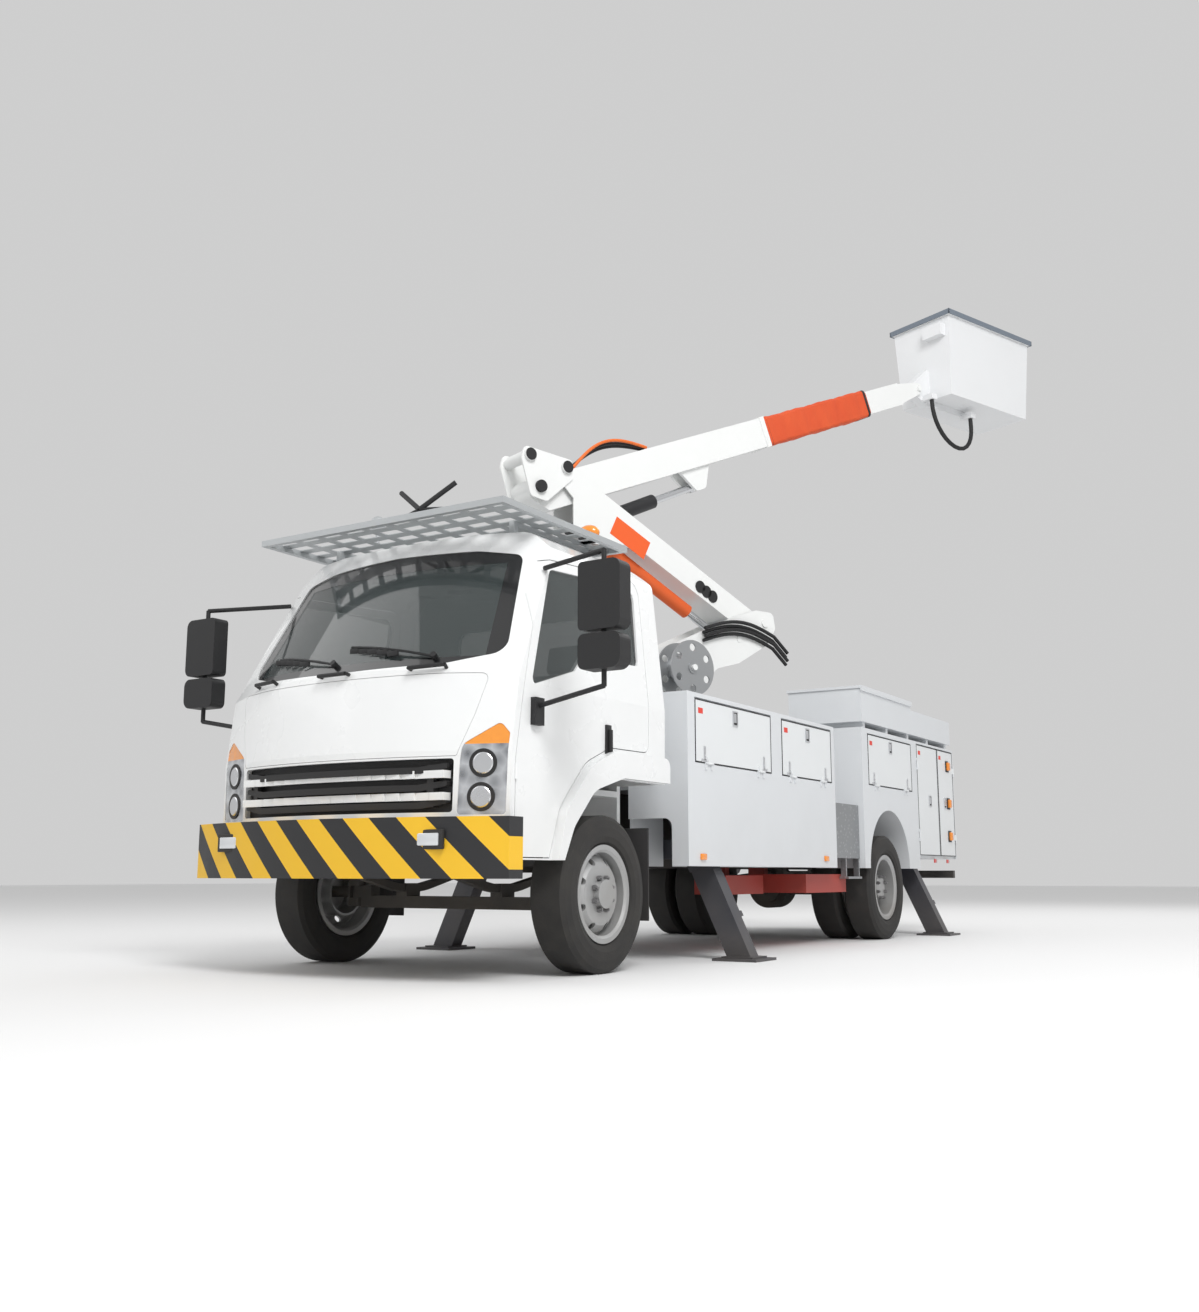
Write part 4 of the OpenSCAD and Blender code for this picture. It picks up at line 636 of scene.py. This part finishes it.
hose_orange = paint("hose_orange", (0.8, 0.16, 0.02), 0.5, dust=0.0)
for count, shade in enumerate((hose_black, hose_black, hose_orange)):
    path = []
    for step in range(UPPER_HOSE_STEPS + 1):
        share = step / UPPER_HOSE_STEPS
        up = 0.085 + 0.1 * math.sin(math.pi * share) * (1.0 + 0.2 * count)
        path.append(upper_boom_point(0.45 + 0.85 * share, 0.02 + 0.035 * count, up))
    hose = tube_curve(f"upper_boom_hose_{count}", path, 0.013, 3)
    hose.data.materials.append(shade)
    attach(hose, "upper_boom")


# ---- legs, tubes, cylinders, reel and bucket ----
# Outriggers in dark blue-black enamel, hard chromed rods, an orange lower cylinder and a black upper one.
# The reel and the roof's platform are galvanised, the bucket is moulded plastic, and the deck is tread plate.
leg_dark = paint("leg_enamel", (0.02, 0.024, 0.04), 0.4, dust=0.5, coat=0.2)
for node in ("outrigger_tubes", "front_left_leg", "front_right_leg", "rear_left_leg", "rear_right_leg"):
    wear(node, leg_dark)
chrome = Finish("hard_chrome", Metallic=1.0, Roughness=0.12)
streak = chrome.noise(30.0, 3.0, (1.0, 1.0, 12.0))
chrome.set(Base_Color=chrome.mix(streak * 0.3, (0.75, 0.76, 0.78), (0.55, 0.56, 0.58)), Roughness=0.08 + streak * 0.12)
for node in ("lower_lift_rod", "upper_lift_rod"):
    wear(node, chrome.material)
wear("lower_lift_barrel", paint("cylinder_orange", (0.75, 0.12, 0.02), 0.5, dust=0.1))
wear("upper_lift_barrel", paint("cylinder_black", (0.016, 0.016, 0.018), 0.38, dust=0.1))
wear("hose_reel", paint("reel_zinc", (0.42, 0.43, 0.44), 0.38, dust=0.2, metallic=0.8))
wear("bucket", paint("bucket_plastic", (0.8, 0.81, 0.82), 0.42, dust=0.0, grain=0.002))
wear("roof_platform", paint("platform_zinc", (0.5, 0.52, 0.53), 0.42, dust=0.2, metallic=0.6))
tread_plate = Finish("tread_plate", Metallic=0.9, Roughness=0.4)
lozenge = tread_plate.node("ShaderNodeTexVoronoi", {}, {"Vector": tread_plate.place, "Scale": 26.0}, "Distance")
raised = (0.35 - lozenge).clamp()
tread_plate.set(Base_Color=tread_plate.mix(raised * 2.0, (0.36, 0.37, 0.38), (0.62, 0.63, 0.64)),
                Roughness=0.45 - raised * 0.4)
tread_plate.bump(raised, 0.006, 0.9)
wear("deck", tread_plate.material)
loop_hose.data.materials.append(hose_black)

# ---- seats ----
# Foam cushions in dark woven cloth: a base, a back and a head pad for each of the two places. Their edges
# are rounded, as foam's are under a sewn cover.
cloth = Finish("seat_cloth", Roughness=0.9)
weave = cloth.node("ShaderNodeTexVoronoi", {}, {"Vector": cloth.place, "Scale": 220.0}, "Distance")
cloth.set(Base_Color=cloth.mix(weave, (0.03, 0.03, 0.035), (0.09, 0.09, 0.1)))
cloth.bump(weave, 0.002, 0.8)
cushion_mesh = nodes["seats"].data.copy()
soft = bmesh.new()
soft.from_mesh(cushion_mesh)
bmesh.ops.remove_doubles(soft, verts=soft.verts, dist=1e-5)
bmesh.ops.dissolve_limit(soft, angle_limit=0.02, verts=soft.verts, edges=soft.edges)
bmesh.ops.bevel(soft, geom=soft.edges[:], offset=0.022, affect="EDGES", segments=3, profile=0.5, material=-1,
                clamp_overlap=True)
cushions = new_piece("seat_cushions", soft, cloth.material, "chassis", 60.0)
bpy.data.meshes.remove(cushion_mesh)
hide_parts("seats")

# ---- boom sleeve ----
# Orange-red coated fabric, stretched tight round the inner boom where it leaves the outer one. A black
# webbing strap draws it in near each end.
fabric = Finish("sleeve_fabric", Roughness=0.75)
threads = fabric.noise(320.0, 2.0)
fabric.set(Base_Color=fabric.mix(fabric.noise(3.0), (0.62, 0.06, 0.015), (0.75, 0.12, 0.03)),
           Roughness=0.65 + threads * 0.2)
fabric.bump(threads, 0.002, 0.6)
SLEEVE_START, SLEEVE_LENGTH = 2.828, 1.58
SLEEVE_HALF_WIDTH, SLEEVE_HALF_DEPTH, SLEEVE_CORNER = 0.108, 0.138, 0.032
SLEEVE_STEPS = 120
BOOM_MIDDLE = -0.065


def sleeve_ring(share):
    """Points round the sleeve at a share of its length: a rounded box, drawn in at both laced ends."""
    folds = 0.0022 * math.sin(share * 61.0) + 0.0028 * math.sin(share * 23.0 + 1.0)
    drawn = 0.009 * (max(0.0, 1 - share / 0.03) + max(0.0, 1 - (1 - share) / 0.03))
    wide, deep = SLEEVE_HALF_WIDTH + folds - drawn, SLEEVE_HALF_DEPTH + folds - drawn
    ring = []
    for corner in range(4):
        cx = (wide - SLEEVE_CORNER) * (1 if corner in (0, 3) else -1)
        cz = (deep - SLEEVE_CORNER) * (1 if corner < 2 else -1)
        for step in range(7):
            turn = math.pi / 2 * (corner + step / 6)
            ring.append((cx + SLEEVE_CORNER * math.cos(turn), cz + SLEEVE_CORNER * math.sin(turn)))
    return ring


cover = bmesh.new()
rings = []
for step in range(SLEEVE_STEPS + 1):
    share = step / SLEEVE_STEPS
    wave = 0.0015 * math.sin(share * 87.0)
    rings.append([cover.verts.new(upper_boom_point(SLEEVE_START + SLEEVE_LENGTH * share, x, BOOM_MIDDLE + z + wave))
                  for x, z in sleeve_ring(share)])
join_rings(cover, rings)
sleeve = new_piece("fabric_sleeve", cover, fabric.material, "inner_boom", 70.0)
thick = sleeve.modifiers.new("cloth", "SOLIDIFY")
thick.thickness = 0.002
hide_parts("boom_sleeve")
STRAP_WIDTH = 0.03
straps = bmesh.new()
for reach in (SLEEVE_START + 0.03, SLEEVE_START + SLEEVE_LENGTH - 0.06):
    join_rings(straps, [[straps.verts.new(upper_boom_point(reach + off, x * 1.035, BOOM_MIDDLE + z * 1.03))
                         for x, z in sleeve_ring(0.5)] for off in (0.0, STRAP_WIDTH)])
strap = new_piece("sleeve_straps", straps, black_trim, "inner_boom", 70.0)
strap.modifiers.new("webbing", "SOLIDIFY").thickness = 0.003

# ---- bucket rim ----
# A blue-grey vinyl strip is pressed over the bucket's rim, all the way round, and its four lengths
# meet at the corners.
rim_blue = paint("rim_vinyl", (0.17, 0.2, 0.24), 0.55, dust=0.0)
RIM_OUT = 0.026
BUCKET_NEAR = BUCKET_PIN[0] + 0.19 - RIM_OUT
BUCKET_FAR = BUCKET_PIN[0] + 0.19 + 1.4 + RIM_OUT
BUCKET_SIDE = 0.37 + RIM_OUT
STRIP_Z = BUCKET_PIN[1] - 0.075 + 0.91 - 0.022
edging = bmesh.new()
outline = [(BUCKET_NEAR, -BUCKET_SIDE), (BUCKET_FAR, -BUCKET_SIDE), (BUCKET_FAR, BUCKET_SIDE),
           (BUCKET_NEAR, BUCKET_SIDE)]
for (r0, s0), (r1, s1) in zip(outline, outline[1:] + outline[:1]):
    a, b = boom_point(r0, s0, STRIP_Z), boom_point(r1, s1, STRIP_Z)
    turn = (b - a).to_track_quat("X", "Z").to_matrix().to_4x4()
    place = Matrix.Translation((a + b) / 2) @ turn @ Matrix.Diagonal(((b - a).length + 0.012, 0.012, 0.052, 1.0))
    bmesh.ops.create_cube(edging, size=1.0, matrix=place)
new_piece("bucket_edging", edging, rim_blue, "bucket", 0)

# ---- beacon and brackets of the roof ----
# An amber beacon on a small black base, towards the platform's rear left corner, and two forked brackets
# of black tube at its front edge.
beacon = bmesh.new()
beacon_place = Matrix.Translation((MIDDLE + 0.86, FRONT_AXLE + 0.3, 2.88)) @ Matrix.Diagonal((1.5, 1.0, 1.0, 1.0))
bmesh.ops.create_uvsphere(beacon, u_segments=32, v_segments=16, radius=0.055, matrix=beacon_place)
new_piece("amber_beacon", beacon, amber, "chassis", 60.0)
brackets = bmesh.new()
foot = (MIDDLE + 0.35, FRONT_AXLE - 0.86, 2.84)
for off in (-0.1, 0.1):
    add_rod(brackets, foot, (MIDDLE + 0.35 + off * 2.2, FRONT_AXLE - 0.78, 3.0), 0.016, 14)
    add_rod(brackets, foot, (MIDDLE + 0.35 + off * 3.0, FRONT_AXLE - 0.72, 2.84), 0.012, 14)
add_box(brackets, (MIDDLE + 0.80, FRONT_AXLE + 0.26, 2.815), (MIDDLE + 0.92, FRONT_AXLE + 0.34, 2.85), 0.004)
new_piece("roof_brackets", brackets, black_trim, "chassis")

# ---- front mudflaps ----
# Thick flaps of black rubber hang behind the front wheels, one on each side, and end well above
# the ground.
flaps = bmesh.new()
for sign in (1, -1):
    add_box(flaps, (MIDDLE + sign * 0.93, FRONT_AXLE + 0.575, 0.3),
            (MIDDLE + sign * 1.15, FRONT_AXLE + 0.59, 0.9), 0.004)
new_piece("front_mudflaps", flaps, gasket, "chassis")

# ---- floor and light ----
# A pale floor, a strong broad lamp in front, a weak one opposite, one behind the truck, and an
# even white sky.
ground = bmesh.new()
bmesh.ops.create_grid(ground, x_segments=1, y_segments=1, size=60.0)
floor_data = bpy.data.meshes.new("floor")
ground.to_mesh(floor_data)
ground.free()
floor = bpy.data.objects.new("floor", floor_data)
floor_paint = Finish("floor_paint", Base_Color=(0.82, 0.82, 0.82), Roughness=0.85)
floor_data.materials.append(floor_paint.material)
bpy.context.scene.collection.objects.link(floor)
AIM = Vector((0.0, 0.0, 2.0))
for name, place, size, power in (("key", (9.0, -9.0, 12.0), 6.0, 1500.0), ("fill", (-9.0, -8.0, 9.0), 9.0, 250.0),
                                 ("back", (2.0, 12.0, 12.0), 8.0, 600.0)):
    light_data = bpy.data.lights.new(name, "AREA")
    light_data.size = size
    light_data.energy = power
    light = bpy.data.objects.new(name, light_data)
    light.location = place
    light.rotation_euler = (AIM - Vector(place)).to_track_quat("-Z", "Y").to_euler()
    bpy.context.scene.collection.objects.link(light)
world = bpy.data.worlds.new("sky")
world.use_nodes = True
world.node_tree.nodes["Background"].inputs["Color"].default_value = (1.0, 1.0, 1.0, 1.0)
world.node_tree.nodes["Background"].inputs["Strength"].default_value = 0.62
bpy.context.scene.world = world
bpy.context.scene.view_settings.view_transform = "Standard"

bpy.context.view_layer.update()
